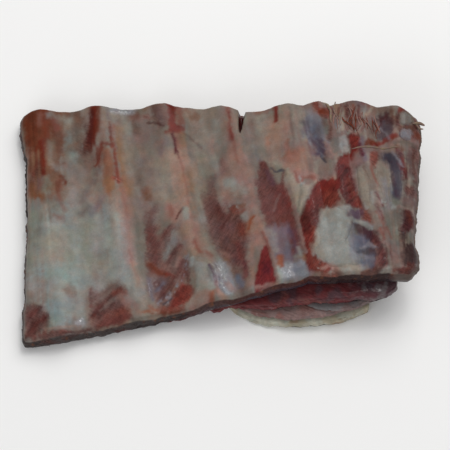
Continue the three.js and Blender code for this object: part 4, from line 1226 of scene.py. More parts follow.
BROAD_PAD_FACE: tuple[Mark, ...] = (
    Patch(T.PALE, (534, 34, 554, 38, 576, 37, 617, 38, 625, 33, 613, 26, 612, 18, 600, 11, 620, 6, 643,
        3, 592, 0, 561, 2, 531, 7, 501, 12, 518, 21, 529, 28), 2.4, 0.97),
    Patch(T.FAT_WHITE, (540, 28, 585, 27, 592, 15, 569, 6, 534, 11), 7.2, 0.7),
    Stroke(T.CREAM, (514, 20, 507, 13, 527, 10), 3, 0.6, 3.6),
    Stroke(T.CREAM, (546, 36, 564, 36), 3.6, 0.6, 4.8),
    Patch(T.BRUISE, (615, 35, 652, 37, 655, 33, 628, 29, 608, 31), 2.4, 0.9),
    Patch(T.VALLEY_GREY, (608, 27, 632, 28, 635, 23, 614, 20, 602, 24), 2.4, 0.7),
    Patch(T.MUSCLE_MAROON, (657, 28, 689, 25, 722, 15, 722, 5, 686, 4, 681, 14, 656, 20), 3.6, 0.8),
    Patch(T.PURPLE_DARK, (621, 29, 663, 28, 680, 20, 660, 17, 634, 22), 3, 0.8),
    Patch(T.BLUE_GREY, (610, 16, 655, 18, 686, 12, 671, 8, 631, 12), 3, 0.6),
    Patch(T.BLUE_HAZE, (615, 22, 652, 21, 653, 16, 629, 9, 606, 11, 605, 17), 3, 0.9),
    Patch(T.BLUE_GREY, (627, 14, 664, 15, 679, 11, 649, 10, 618, 10), 2.4, 0.5),
    Patch(T.BLUE_HAZE, (636, 9, 666, 9, 662, 4, 636, 3, 620, 6), 3, 0.85),
    Stroke(T.BLUE_WHITE, (634, 29, 658, 29, 679, 26), 1.5, 0.8, 1.8, relief=0.3),
    Stroke(T.BLUE_WHITE, (640, 14, 659, 16, 681, 14), 1.2, 0.7, 1.5, relief=0.3),
    Stroke(T.VALLEY_GREY, (608, 34, 597, 25), 3, 0.5, 3),
    Stroke(T.FAT_YELLOW, (568, 4, 612, 3), 3, 0.5, 3.6),
    Stroke(T.BLUE_WHITE, (612, 25, 607, 16, 610, 8), 3.6, 0.6, 4.2),
    Stroke(T.BLUE_WHITE, (599, 9, 636, 10, 665, 8), 1.5, 0.5, 1.2),
    Stroke(T.PALE, (586, 29, 628, 30, 663, 28, 678, 25), 1.2, 0.7, 2.4),
    Stroke(T.FAT_WHITE, (578, 33, 599, 31), 2.4, 0.6, 2.4),
)

PAD_BED: tuple[Mark, ...] = (
    Stroke(T.MUSCLE_ORANGE, (474, -3, 509, -2, 554, 0), 2.4, 0.85, 3.6),
    Stroke(T.ROSE, (517, 3, 541, 5, 562, 3), 1.8, 0.8, 2.4),
    Stroke(T.ROSE_DARK, (553, 2, 578, -1), 1.8, 0.7, 1.8),
)

INNER_FACE: tuple[tuple[Mark, ...], ...] = (
    GROUND,
    VALLEYS,
    STAIN_THIN_END,
    RIB_2,
    RIB_3,
    RIB_4,
    WINDOW_1,
    WINDOW_2,
    WINDOW_3,
    RIB_3_END,
    FRONT_RIM,
    WINDOW_4,
    SPACE_5,
    WINDOW_5,
    BRUISE_PATCH,
    PALE_TISSUE,
    FRAYED_MEAT,
    RED_MEAT,
    WHITE_TRIANGLE,
    NECK,
    RIGHT_EDGE,
    BROAD_PAD_FACE,
    PAD_BED,
)


# ---- finishes -----------------------------------------------------------------------------------------


class NodeBench:
    """Adds nodes to a tree in few words."""

    def __init__(self, tree: bpy.types.NodeTree) -> None:
        """Works on one tree."""
        self.tree = tree

    def add(self, kind: str, inputs: dict | None = None, **settings: object) -> bpy.types.Node:
        """Adds a node.

        Args:
            kind: The node's type.
            inputs: For each input, by name or number, its value or the socket that feeds it.
            settings: The node's other settings.

        Returns:
            The node.
        """
        node = self.tree.nodes.new(kind)
        for name, value in settings.items():
            setattr(node, name, value)
        for key, value in (inputs or {}).items():
            if isinstance(value, bpy.types.NodeSocket):
                self.tree.links.new(value, node.inputs[key])
            else:
                node.inputs[key].default_value = value
        return node

    def math(self, operation: str, *values: object) -> bpy.types.NodeSocket:
        """Adds a Math node for the values, which are numbers or sockets."""
        return self.add("ShaderNodeMath", dict(enumerate(values)), operation=operation).outputs[0]

    def span(self, value: object, start: float, end: float, low: float, high: float) -> object:
        """Maps a value that goes from start to end to one from low to high, and holds it there."""
        inputs = dict(enumerate((value, start, end, low, high)))
        return self.add("ShaderNodeMapRange", inputs).outputs[0]

    def noise(self, vector: object, cell: float, detail: float = 3.0) -> bpy.types.NodeSocket:
        """Adds noise with lumps of a size in millimetres."""
        inputs = {"Vector": vector, "Scale": 1 / (cell * MM), "Detail": detail}
        return self.add("ShaderNodeTexNoise", inputs).outputs[0]

    def blend(self, share: object, a: object, b: object, how: str = "MIX") -> bpy.types.NodeSocket:
        """Blends two colours.

        Args:
            share: How much of the second colour, 0 to 1, as a number or a socket.
            a: The first colour.
            b: The second colour.
            how: The kind of blend.

        Returns:
            The blended colour.
        """
        inputs = {0: share, 6: a, 7: b}
        return self.add("ShaderNodeMix", inputs, data_type="RGBA", blend_type=how).outputs[2]

    def turned(self, vector: object, degrees: float, squeeze: float) -> bpy.types.NodeSocket:
        """Coordinates for fibres: the pattern is drawn out along one direction.

        Args:
            vector: The coordinates.
            degrees: The fibres' direction, from the rack's length.
            squeeze: How many times longer the pattern is along the fibres.

        Returns:
            The drawn-out coordinates.
        """
        turn = {0: vector, 2: (0.0, 0.0, -math.radians(degrees))}
        flat = self.add("ShaderNodeMapping", turn).outputs[0]
        return self.add("ShaderNodeMapping", {0: flat, 3: (1 / squeeze, 1.0, 1.0)}).outputs[0]


MADE_FINISHES: dict[str, bpy.types.Material] = {}


@dataclass(frozen=True)
class Finish:
    """How a piece's surface looks close up. Its tones are painted on the mesh.

    Attributes:
        name: The material's name.
        mottle: How much lighter and darker the tone is in spots.
        bump: Height of the finest relief, in millimetres.
        rough: Roughness of a dull place.
        coat: Strength of the wet film's reflection.
        soft: How much light spreads inside the flesh.
        tone: The tone of a piece that isn't painted, as two tissues that it varies between.
    """

    name: str
    mottle: float = 0.3
    bump: float = 0.3
    rough: float = 0.5
    coat: float = 0.9
    soft: float = 0.03
    tone: tuple[T, T] | None = None
    fibre_turns = (-28.0, 58.0)
    fibre_width = 0.8
    fibre_stretch = 9.0
    fibre_shade = 0.42
    fat_cell = 1.7
    warm_tint = (1.05, 0.985, 0.96, 1)
    cool_tint = (0.96, 1.01, 1.03, 1)
    specular = 0.04
    coat_rough = 0.12

    def material(self) -> bpy.types.Material:
        """Builds the material, or returns it if it is there.

        Returns:
            The material.
        """
        if self.name in MADE_FINISHES:
            return MADE_FINISHES[self.name]
        material = MADE_FINISHES[self.name] = bpy.data.materials.new(self.name)
        material.use_nodes = True
        material.node_tree.nodes.clear()
        bench = NodeBench(material.node_tree)
        place = bench.add("ShaderNodeTexCoord").outputs["Object"]
        lumps = bench.noise(place, 7.0, 4.0)
        grit = bench.noise(place, 0.9, 3.0)
        if self.tone:
            light, dark = ((*linear(tissue.value.tone), 1.0) for tissue in self.tone)
            tone = bench.blend(bench.span(bench.noise(place, 2.5), 0.35, 0.65, 0, 1), light, dark)
            look = self.tone[0].value
            meat, fat, wet = look.meat, look.fat, look.wet
            lean = 0.5
        else:
            read = {
                name: bench.add("ShaderNodeAttribute", attribute_name=name)
                for name in ("tissue_tone", "meat", "fat", "wet", "lean")
            }
            tone = read["tissue_tone"].outputs["Color"]
            meat, fat, wet, lean = (read[name].outputs["Fac"] for name in ("meat", "fat", "wet", "lean"))
        drawn = [bench.turned(place, turn, self.fibre_stretch) for turn in self.fibre_turns]
        flat, steep = (bench.noise(vector, self.fibre_width, 2.5) for vector in drawn)
        change = bench.math("SUBTRACT", steep, flat)
        fibre = bench.math("ADD", flat, bench.math("MULTIPLY", lean, change))
        inputs = {"Vector": place, "Scale": 1 / (self.fat_cell * MM)}
        cells = bench.add("ShaderNodeTexVoronoi", inputs, feature="SMOOTH_F1").outputs["Distance"]
        shade = bench.span(lumps, 0.3, 0.7, 1 - self.mottle / 2, 1 + self.mottle / 2)
        shade = bench.math("MULTIPLY", shade, bench.span(grit, 0.3, 0.7, 0.93, 1.07))
        light_or_dark = bench.span(fibre, 0.3, 0.7, -self.fibre_shade, self.fibre_shade)
        streak = bench.math("MULTIPLY", light_or_dark, meat)
        shade = bench.math("MULTIPLY_ADD", shade, streak, shade)
        grain = bench.math("MULTIPLY", bench.span(cells, 0.1, 0.8, 0.06, -0.14), fat)
        shade = bench.math("MULTIPLY_ADD", shade, grain, shade)
        grey = bench.add("ShaderNodeCombineColor", {0: shade, 1: shade, 2: shade}).outputs[0]
        tone = bench.blend(1.0, tone, grey, "MULTIPLY")
        warm = bench.noise(place, 3.3, 3.0)
        tint = bench.blend(bench.span(warm, 0.35, 0.65, 0, 1), self.warm_tint, self.cool_tint)
        tone = bench.blend(0.8, tone, bench.blend(1.0, tone, tint, "MULTIPLY"))
        height = bench.math("MULTIPLY", bench.math("SUBTRACT", grit, 0.5), 0.35)
        height = bench.math("MULTIPLY_ADD", bench.math("MULTIPLY", fibre, meat), 0.9, height)
        height = bench.math("MULTIPLY_ADD", bench.math("MULTIPLY", cells, fat), -0.35, height)
        bump = bench.add("ShaderNodeBump", {"Height": height, "Distance": self.bump * MM, "Strength": 1.0})
        dull = bench.math("MULTIPLY_ADD", wet, -0.28, self.rough)
        dull = bench.math("MULTIPLY_ADD", bench.span(grit, 0.3, 0.7, -1, 1), 0.07, dull)
        shader = bench.add("ShaderNodeBsdfPrincipled", {
            "Base Color": tone,
            "Roughness": dull,
            "Normal": bump.outputs[0],
            "Specular IOR Level": self.specular,
            "Subsurface Weight": self.soft,
            "Subsurface Radius": (1.0, 0.45, 0.3),
            "Subsurface Scale": 1.2 * MM,
            "Coat Weight": bench.math("MULTIPLY", bench.math("POWER", wet, 4.0), self.coat),
            "Coat Roughness": self.coat_rough,
            "Coat IOR": 1.5,
        })
        bench.add("ShaderNodeOutputMaterial", {"Surface": shader.outputs[0]})
        return material


FLESH = Finish("wet_flesh", mottle=0.2)
CUT_FAT = Finish("creamy_pad", mottle=0.26, bump=0.25, soft=0.1)
SAWN_BONE = Finish("sawn_bone", mottle=0.2, coat=0.5)
CARTILAGE = Finish("wet_cartilage", mottle=0.14, bump=0.15, rough=0.4, soft=0.12)
OUTER_FLESH = Finish("outer_flesh", mottle=0.34, bump=0.4)
SINEW = Finish("sinew", mottle=0.2, bump=0.1, tone=(T.FAT_PINK, T.FAT_YELLOW))
THREAD = Finish("loose_thread", mottle=0.3, bump=0.1, tone=(T.ROSE_DARK, T.MUSCLE_PALE))
PALE_FRAY = Finish("pale_fray", mottle=0.3, bump=0.1, tone=(T.FAT_PINK, T.ROSE))
RED_FRAY = Finish("red_fray", mottle=0.3, bump=0.1, tone=(T.STAIN, T.RED_LINE))


# ---- meshes -------------------------------------------------------------------------------------------


def add_object(name: str, data: bpy.types.ID) -> bpy.types.Object:
    """Adds an object to the scene.

    Args:
        name: Its name.
        data: Its mesh, curve, light or camera.

    Returns:
        The object.
    """
    thing = bpy.data.objects.new(name, data)
    bpy.context.scene.collection.objects.link(thing)
    return thing


def ring_cells(grid: Array) -> Array:
    """The corners of each cell between rings of vertices, which are the grid's rows."""
    ahead = np.roll(grid, -1, axis=1)
    return np.stack([grid[:-1], grid[1:], ahead[1:], ahead[:-1]], axis=2).reshape(-1, 4)


def make_mesh(name: str, spots: Array, faces: Sequence, finish: Finish) -> bpy.types.Object:
    """Makes an object of a closed mesh.

    Args:
        name: The object's name.
        spots: A row of x, y and z for each vertex, in millimetres.
        faces: The vertices of each face, in order round it.
        finish: Its finish.

    Returns:
        The object, linked to the scene.
    """
    mesh = bpy.data.meshes.new(name)
    mesh.from_pydata((spots * MM).tolist(), [], [list(face) for face in faces])
    mesh.polygons.foreach_set("use_smooth", np.ones(len(mesh.polygons), bool))
    mesh.materials.append(finish.material())
    mesh.update()
    return add_object(name, mesh)


def dress(piece: bpy.types.Object, surface: Surface) -> None:
    """Stores a painted surface on the mesh, for its material to read.

    Args:
        piece: The piece.
        surface: The painted state of its vertices.
    """
    tones = np.hstack([np.clip(surface.tone, 0.001, 1), np.ones((len(surface.tone), 1))])
    mesh = piece.data
    mesh.attributes.new("tissue_tone", "FLOAT_COLOR", "POINT").data.foreach_set("color", tones.ravel())
    for name in ("meat", "fat", "wet", "lean"):
        values = getattr(surface, name).astype(np.float32)
        mesh.attributes.new(name, "FLOAT", "POINT").data.foreach_set("value", values)


def place_piece(piece: bpy.types.Object, slot: str, *nodes: str) -> bpy.types.Object:
    """Hands a finished piece over to the frame.

    Args:
        piece: The piece.
        slot: A material slot's name; not used.
        nodes: The plain solids that it stands for.

    Returns:
        The piece.
    """
    if nodes:
        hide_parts(*nodes)
    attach(piece, ROOT)
    log.info("%s: %d faces", piece.name, len(piece.data.polygons))
    return piece


@dataclass(frozen=True)
class Shell:
    """A closed slab: a fine top face, cut walls in rings and a coarser underside.

    Attributes:
        columns: Cells of the top face along the rack.
        rows: Cells of the top face across the rack.
        rings: Rings of cells down the walls.
        coarse: How many times larger the underside's cells are.
        swell: How far the walls swell outwards.
    """

    columns: int
    rows: int
    rings: int
    coarse: int
    swell: float

    def top_shares(self) -> Array:
        """Where the top face's vertices are, from 0 to 1 both ways, row by row."""
        u, v = np.meshgrid(np.linspace(0, 1, self.columns + 1), np.linspace(0, 1, self.rows + 1))
        return np.stack([u.ravel(), v.ravel()], axis=1)

    def rim(self, columns: int, rows: int) -> Array:
        """The vertices round a grid's edge, anticlockwise from its first corner."""
        grid = np.arange((columns + 1) * (rows + 1)).reshape(rows + 1, columns + 1)
        return np.concatenate([grid[0, :-1], grid[:-1, -1], grid[-1, :0:-1], grid[:0:-1, 0]])

    def low_shares(self) -> Array:
        """Finds where the underside's vertices are, drawn in a little from the walls.

        Returns:
            Their shares, from 0 to 1 both ways, row by row.
        """
        across, deep = self.columns // self.coarse, self.rows // self.coarse
        u, v = np.meshgrid(np.linspace(0.006, 0.994, across + 1), np.linspace(0.01, 0.99, deep + 1))
        return np.stack([u.ravel(), v.ravel()], axis=1)

    def quads(self, columns: int, rows: int) -> Array:
        """Lists the cells of a grid.

        Args:
            columns: Cells along it.
            rows: Cells across it.

        Returns:
            The four corners of each, anticlockwise.
        """
        grid = np.arange((columns + 1) * (rows + 1)).reshape(rows + 1, columns + 1)
        corners = [grid[:-1, :-1], grid[:-1, 1:], grid[1:, 1:], grid[1:, :-1]]
        return np.stack([corner.ravel() for corner in corners], axis=1)

    def faces(self) -> list:
        """All the faces: the top, the walls, the underside and the ring that joins it on.

        Returns:
            The vertices of each face.
        """
        rim = self.rim(self.columns, self.rows)
        count = len(rim)
        first = (self.columns + 1) * (self.rows + 1)
        rings = [rim, *(first + count * ring + np.arange(count) for ring in range(self.rings))]
        faces = self.quads(self.columns, self.rows).tolist()
        for upper, lower in zip(rings, rings[1:]):
            walls = [lower, np.roll(lower, -1), np.roll(upper, -1), upper]
            faces += np.stack(walls, axis=1).tolist()
        low = first + count * self.rings
        across, deep = self.columns // self.coarse, self.rows // self.coarse
        faces += (low + self.quads(across, deep)[:, ::-1]).tolist()
        inner = low + self.rim(across, deep)
        outer = rings[-1]
        fine = np.arange(count)
        near = (fine + self.coarse // 2) // self.coarse % len(inner)
        faces += np.stack([outer, inner[near], np.roll(outer, -1)], axis=1).tolist()
        coarse = np.arange(len(inner))
        turn = outer[(coarse * self.coarse + (self.coarse + 1) // 2) % count]
        faces += np.stack([turn, inner, np.roll(inner, -1)], axis=1).tolist()
        return faces

    def build(
        self,
        top: Array,
        low: Array,
        floor: Callable[[Array, Array], Array],
        push: Callable[[Array, Array], Array],
    ) -> Array:
        """Places the vertices.

        Args:
            top: The finished vertices of the top face.
            low: The x and y of the underside's vertices.
            floor: Height of the underside at x and y.
            push: How far a wall's points, at a height from 0 to 1, stand out of the plain swell.

        Returns:
            A row of x, y and z for each vertex.
        """
        rim = top[self.rim(self.columns, self.rows)]
        along = np.roll(rim[:, :2], -3, 0) - np.roll(rim[:, :2], 3, 0)
        along /= np.linalg.norm(along, axis=1)[:, None]
        out = np.stack([along[:, 1], -along[:, 0]], axis=1)
        bottom = floor(rim[:, 0], rim[:, 1])
        walls = []
        for ring in range(1, self.rings + 1):
            height = 1.0 - ring / self.rings
            level = mix(bottom, rim[:, 2], height)
            spots = np.stack([rim[:, 0], rim[:, 1], level], axis=1)
            stand = self.swell * math.sin(math.pi * height) + push(spots, np.full(len(rim), height))
            walls.append(np.column_stack([spots[:, :2] + out * stand[:, None], level]))
        under = np.column_stack([low, floor(low[:, 0], low[:, 1])])
        return np.vstack([top, *walls, under])

    def heights(self) -> Array:
        """Finds how high up the wall each vertex is.

        Returns:
            The heights, 1 on the top face and 0 on the underside.
        """
        rim = 2 * (self.columns + self.rows)
        rings = np.repeat(1.0 - np.arange(1, self.rings + 1) / self.rings, rim)
        low = (self.columns // self.coarse + 1) * (self.rows // self.coarse + 1)
        top = (self.columns + 1) * (self.rows + 1)
        return np.concatenate([np.ones(top), rings, np.zeros(low)])


# ---- the rib sheet ------------------------------------------------------------------------------------


@dataclass
class RibSheet:
    """The meat and membrane round the ribs: one skin, with every marking of the inner face.

    Attributes:
        shell: Its cells.
        rim_radius: How far the rim rounds over.
        breadth: How far it is across, about.
        least: The least thickness that is left anywhere.
        ragged: How far the front edge and the ends wander.
        edge_shares: Places from the front edge to the back edge, for the next two.
        thin_edge: How far the thin end is moved along x at those places.
        thick_edge: How far the thick end is.
        tip: The tip in front, at the thick end: its x from and to, and its reach.
        notch: A dip in the back edge: its x, half width and depth.
        cut_tip: Tip of the knife cut, as x and how far behind the back edge.
        cut_mouth: Its mouth, in the same way.
        cut_width: Its width at the mouth.
        cut_depth: Its depth.
    """

    shell: Shell = Shell(columns=348, rows=220, rings=12, coarse=4, swell=1.4)
    rim_radius: float = 2.6
    breadth: float = 130.0
    least: float = 3.0
    ragged: float = 0.9
    edge_shares: tuple[float, ...] = (0.0, 0.07, 0.2, 0.5, 0.8, 1.0)
    thin_edge: tuple[float, ...] = (-2.5, -0.5, 1.5, 2.4, 1.6, -5.5)
    thick_edge: tuple[float, ...] = (-1.5, 2.8, -1.6, -1.2, -0.6, 0.0)
    tip: tuple[float, float, float] = (92.0, 106.0, 1.0)
    notch: tuple[float, float, float] = (64.0, 4.2, 3.4)
    cut_tip: Place = (10.6, -18.0)
    cut_mouth: Place = (12.6, 6.0)
    cut_width: float = 4.6
    cut_depth: float = 7.5

    def outline(self, shares: Array) -> Array:
        """Finds the x and y of places on the sheet.

        Args:
            shares: From 0 to 1 along and across the sheet.

        Returns:
            A row of x and y for each.
        """
        u, v = pull_corners(shares)
        x = mix(mix(*RACK.thin_end, v), mix(*RACK.thick_end, v), u)
        plain = np.stack([x, np.zeros_like(x)], axis=1)
        tip_from, tip_to, tip_reach = self.tip
        front = RACK.front_y(x) + self.ragged * cloud(plain, 6.0, 21, 4)
        front -= tip_reach * ease(tip_from, tip_to, x)
        back = RACK.edge_y(x) + 0.5 * cloud(plain, 5.0, 22, 3)
        middle, half, depth = self.notch
        back -= depth * np.exp(-(((x - middle) / half) ** 2))
        y = mix(front, back, v)
        thin, thick = (np.interp(v, self.edge_shares, edge) for edge in (self.thin_edge, self.thick_edge))
        x = x + thin * (1 - u) ** 6 + thick * u**6
        sides = np.stack([np.zeros_like(y), y], axis=1)
        edge = ease(0.93, 1.0, np.abs(2 * u - 1))
        end = np.sign(shares[:, 0] - 0.5)
        x = x + self.ragged * edge * cloud(sides + 40 * end[:, None], 6.0, 23, 4)
        return np.stack([x, y], axis=1)

    def knife_cut(self, spots: Array) -> Array:
        """Finds how far the knife cut beside the fourth rib reaches down.

        Args:
            spots: A row of x and y for each place.

        Returns:
            The depth at each.
        """
        mouth = np.array([self.cut_mouth[0], RACK.back_y(self.cut_mouth[0]) + self.cut_mouth[1]])
        tip = np.array([self.cut_tip[0], RACK.back_y(self.cut_mouth[0]) + self.cut_tip[1]])
        axis = mouth - tip
        share = (spots - tip) @ axis / (axis @ axis)
        across = np.abs((spots - tip - np.clip(share, 0, 1)[:, None] * axis) @ [axis[1], -axis[0]])
        across /= np.linalg.norm(axis)
        half = self.cut_width / 2 * np.clip(share, 0, 1)
        inside = 1.0 - ease(-0.5, 0.7, across - half)
        return self.cut_depth * inside * ease(-0.02, 0.25, share)

    def rounding(self, shares: Array) -> Array:
        """Finds how far the rim has rounded down.

        Args:
            shares: Places on the top face, from 0 to 1 both ways.

        Returns:
            The drop at each.
        """
        width = (RACK.thick_end[0] - RACK.thin_end[0]) * np.minimum(shares[:, 0], 1 - shares[:, 0])
        depth = self.breadth * np.minimum(shares[:, 1], 1 - shares[:, 1])
        # Where two edges meet, the corner rounds off as a ball does.
        gaps = [np.clip(1 - side / self.rim_radius, 0, 1) for side in (width, depth)]
        out = np.clip(np.hypot(*gaps), 0, 1)
        return self.rim_radius * (1 - np.sqrt(1 - out**2))

    def paint_top(self, surface: Surface) -> None:
        """Paints the inner face.

        Args:
            surface: Its points.
        """
        plan = surface.spots[:, :2]
        warp = np.stack([cloud(plan, 6.0, 31), cloud(plan, 6.0, 32)], axis=1)
        fine = np.stack([cloud(plan, 2.2, 33, 2), cloud(plan, 2.2, 34, 2)], axis=1)
        warped = plan + 0.5 * warp + 0.5 * fine
        self.undertones(surface)
        for group in INNER_FACE:
            for mark in group:
                mark.paint(surface, warped)
        self.fibres(surface)
        self.overtones(surface)

    def undertones(self, surface: Surface) -> None:
        """Washes the membrane with what shows faintly through it.

        Args:
            surface: The inner face.
        """
        plan = surface.spots[:, :2]
        surface.vary(22.0, 0.1, 41)
        along_ribs = RACK.follow(*plan.T)
        for seed, tissue in enumerate((T.ROSE, T.VALLEY_GREY, T.PALE, T.FAT_CREAM)):
            drawn = cloud(along_ribs, 3.0, 140 + seed, 3)
            spots = cloud(plan, 11.0, 150 + seed, 3)
            surface.wash(0.45 * ease(-0.05, 0.5, 0.7 * drawn + 0.7 * spots), tissue)

    def overtones(self, surface: Surface) -> None:
        """Breaks up every flat tone: redder and paler streaks that follow the ribs, and small spots.

        Args:
            surface: The inner face, with all its marks.
        """
        plan = surface.spots[:, :2]
        along_ribs = RACK.follow(*plan.T)
        red, yellow, light = np.array([0.2, -0.5, -0.6]), np.array([0.15, 0.1, -0.8]), np.ones(3)
        for strength, tint, noise in (
            (0.16, red, cloud(along_ribs, 2.6, 171, 3)),
            (0.12, red, cloud(plan, 5.0, 172, 3)),
            (0.12, yellow, cloud(plan, 7.0, 173, 3)),
            (0.16, light, cloud(along_ribs, 3.0, 174, 2)),
            (0.10, light, cloud(plan, 3.0, 175, 2)),
            (0.14, light, cloud(plan, 12.0, 176, 2)),
        ):
            surface.tone *= 1.0 + strength * noise[:, None] * tint

    def fibres(self, surface: Surface) -> None:
        """Draws the strands of bare meat, paler and darker than the meat itself.

        Args:
            surface: The inner face.
        """
        plan = surface.spots[:, :2]
        for degrees, seed in ((38.0, 160), (64.0, 163), (112.0, 166)):
            along, across = turned(plan, degrees)
            strands = cloud(np.stack([along / 8.0, across], axis=1), 2.0, seed, 3)
            place = np.clip(0.5 + 1.6 * cloud(plan, 16.0, seed + 1, 2), 0, 1) * surface.meat
            light = 0.2 * ease(0.1, 0.6, strands) - 0.26 * ease(0.1, 0.6, -strands)
            surface.tone *= 1.0 + (light * place)[:, None] * [1.0, 1.15, 1.15]

    def relief(self, surface: Surface) -> Array:
        """Height of the small unevenness of the inner face.

        Args:
            surface: Its painted points.

        Returns:
            The height of each point above the plain surface.
        """
        plan = surface.spots[:, :2]
        along, across = turned(plan, 40.0)
        strands = cloud(np.stack([along / 6.0, across], axis=1), 2.2, 54, 2)
        soft = 0.55 * cloud(plan, 24.0, 51, 2) + 0.28 * cloud(plan, 8.0, 52, 3)
        fine = 0.1 * cloud(plan, 2.4, 53, 2)
        ripples = 0.3 * ease(0.6, 1.0, surface.wet) * cloud(plan, 2.0, 55, 2)
        return surface.relief + soft + fine + ripples + 0.22 * strands * surface.meat

    def paint_walls(self, surface: Surface, heights: Array, top_count: int) -> None:
        """Paints the cut walls and the underside.

        Args:
            surface: All the points.
            heights: Their heights on the wall, 1 on the top face.
            top_count: How many of the points are the top face's.
        """
        rows = np.arange(top_count, len(surface.spots))
        spots = surface.spots[rows]
        height = heights[rows]
        layers = spots * [0.16, 0.16, 1.0]
        lump = cloud(layers, 2.6, 61, 3)
        patches = cloud(spots, 11.0, 62, 3)
        x = spots[:, 0]
        low = 1 - ease(0.4, 0.7, height + 0.25 * lump)
        middle = ease(-35, 20, x)
        for share, tissue in (
            # The walls' grey ground and dark lumps are partly the cut meat's tone and partly painted shade,
            # for faces turned away from the light.
            (np.ones(len(rows)), T.CUT_GREY_AND_SHADE),
            (ease(0.0, 0.5, lump), T.CUT_DARK_AND_SHADOW),
            (0.6 * ease(0.1, 0.5, patches), T.MUSCLE_DARK),
            (0.5 * ease(0.3, 0.6, -lump), T.FAT_GREY),
            (0.5 * ease(0.88, 0.98, height), T.RIB_END_GREY),
            (0.7 * middle, T.MUSCLE_DARK),
            (0.85 * middle * low, T.BLUE_GREY),
            # Painted shadow: a darker band on the walls between x 48 and 101, for the gap under the sheet's
            # front edge.
            (0.8 * ease(48, 66, x) * (1 - ease(96, 101, x)), T.CUT_DARK_AND_SHADOW),
            (0.6 * ease(98, 103, x + 3 * lump), T.FAT_GREY),
            (0.6 * ease(0.25, 0.5, cloud(spots, 2.4, 65, 2)) * (height > 0.6), T.STAIN_BROWN),
        ):
            surface.cover(rows, share, tissue)
        glints = ease(0.2, 0.5, cloud(spots, 1.8, 66, 2)) * middle * low
        surface.wet[rows] = np.clip(surface.wet[rows] + 0.6 * glints, 0, 1)
        under = height <= 0.0
        surface.cover(rows, 0.9 * (under * ease(-0.1, 0.35, cloud(spots, 26.0, 63, 3))), T.FAT_CREAM)
        surface.cover(rows, 0.6 * under * ease(0.15, 0.5, cloud(spots, 14.0, 64, 3)), T.MUSCLE)

    def build(self) -> bpy.types.Object:
        """Builds the skin and hands it over.

        Returns:
            The piece.
        """
        shell = self.shell
        shares = shell.top_shares()
        plan = self.outline(shares)
        face = Surface(np.column_stack([plan, np.zeros(len(plan))]))
        self.paint_top(face)
        cut = self.knife_cut(plan)
        face.cover(np.arange(len(plan)), ease(0.8, 4.0, cut), T.BLOOD_DARK)
        x, y = plan.T
        inner = 1 - np.exp(-((np.minimum(shares[:, 0], 1 - shares[:, 0]) * 90) ** 2))
        level = RACK.top(x, y) + inner * self.relief(face) - self.rounding(shares) - cut
        top = np.column_stack([plan, np.maximum(level, RACK.underside(x) + self.least)])
        spots = shell.build(top, self.outline(shell.low_shares()), self.floor, self.push)
        whole = Surface(spots)
        for name in ("tone", "meat", "fat", "wet", "lean"):
            getattr(whole, name)[: len(top)] = getattr(face, name)
        self.paint_walls(whole, shell.heights(), len(top))
        piece = make_mesh("rib_sheet_flesh", spots, shell.faces(), FLESH)
        dress(piece, whole)
        return place_piece(piece, "rib_sheet_meat", "rib_sheet")

    def floor(self, x: Array, y: Array) -> Array:
        """Height of the underside, which never dips below the plain one."""
        return RACK.underside(x) + 0.1 * np.abs(cloud(np.stack([x, y], axis=1), 9.0, 71))

    def push(self, spots: Array, height: Array) -> Array:
        """Finds how far the cut wall stands out, in rags of meat and round each rib's end.

        Args:
            spots: A row of x, y and z for each of its points.
            height: Their heights on the wall, from 0 to 1.

        Returns:
            How far each stands out.
        """
        x, y, z = spots.T
        rags = 0.8 * cloud(spots, 3.0, 72, 3) + 0.5 * cloud(spots * [1, 1, 2.5], 1.5, 73, 2)
        end = (y > 0).astype(float)  # 0 on the front wall, whose rib ends are covered, and 1 on the back wall
        level = RACK.underside(x) - RACK.slope_down(x) + RibBones.centre
        bare = np.zeros(len(spots))
        for rib in RACK.ribs:
            side = (x - rib.x_at(end)) / (rib.width / 2)
            near = np.hypot(side, (z - level) / (RibBones.height / 2))
            bare = np.maximum(bare, end * (1.0 - ease(1.02, 1.3, near)))
        swell = self.shell.swell * np.sin(np.pi * height)
        fuller = 0.2 + 0.8 * np.sin(np.pi * height)
        return rags * (1 - bare) * fuller - bare * (swell + RibBones.recess)


# ---- ribs, fat pads and gristle -----------------------------------------------------------------------


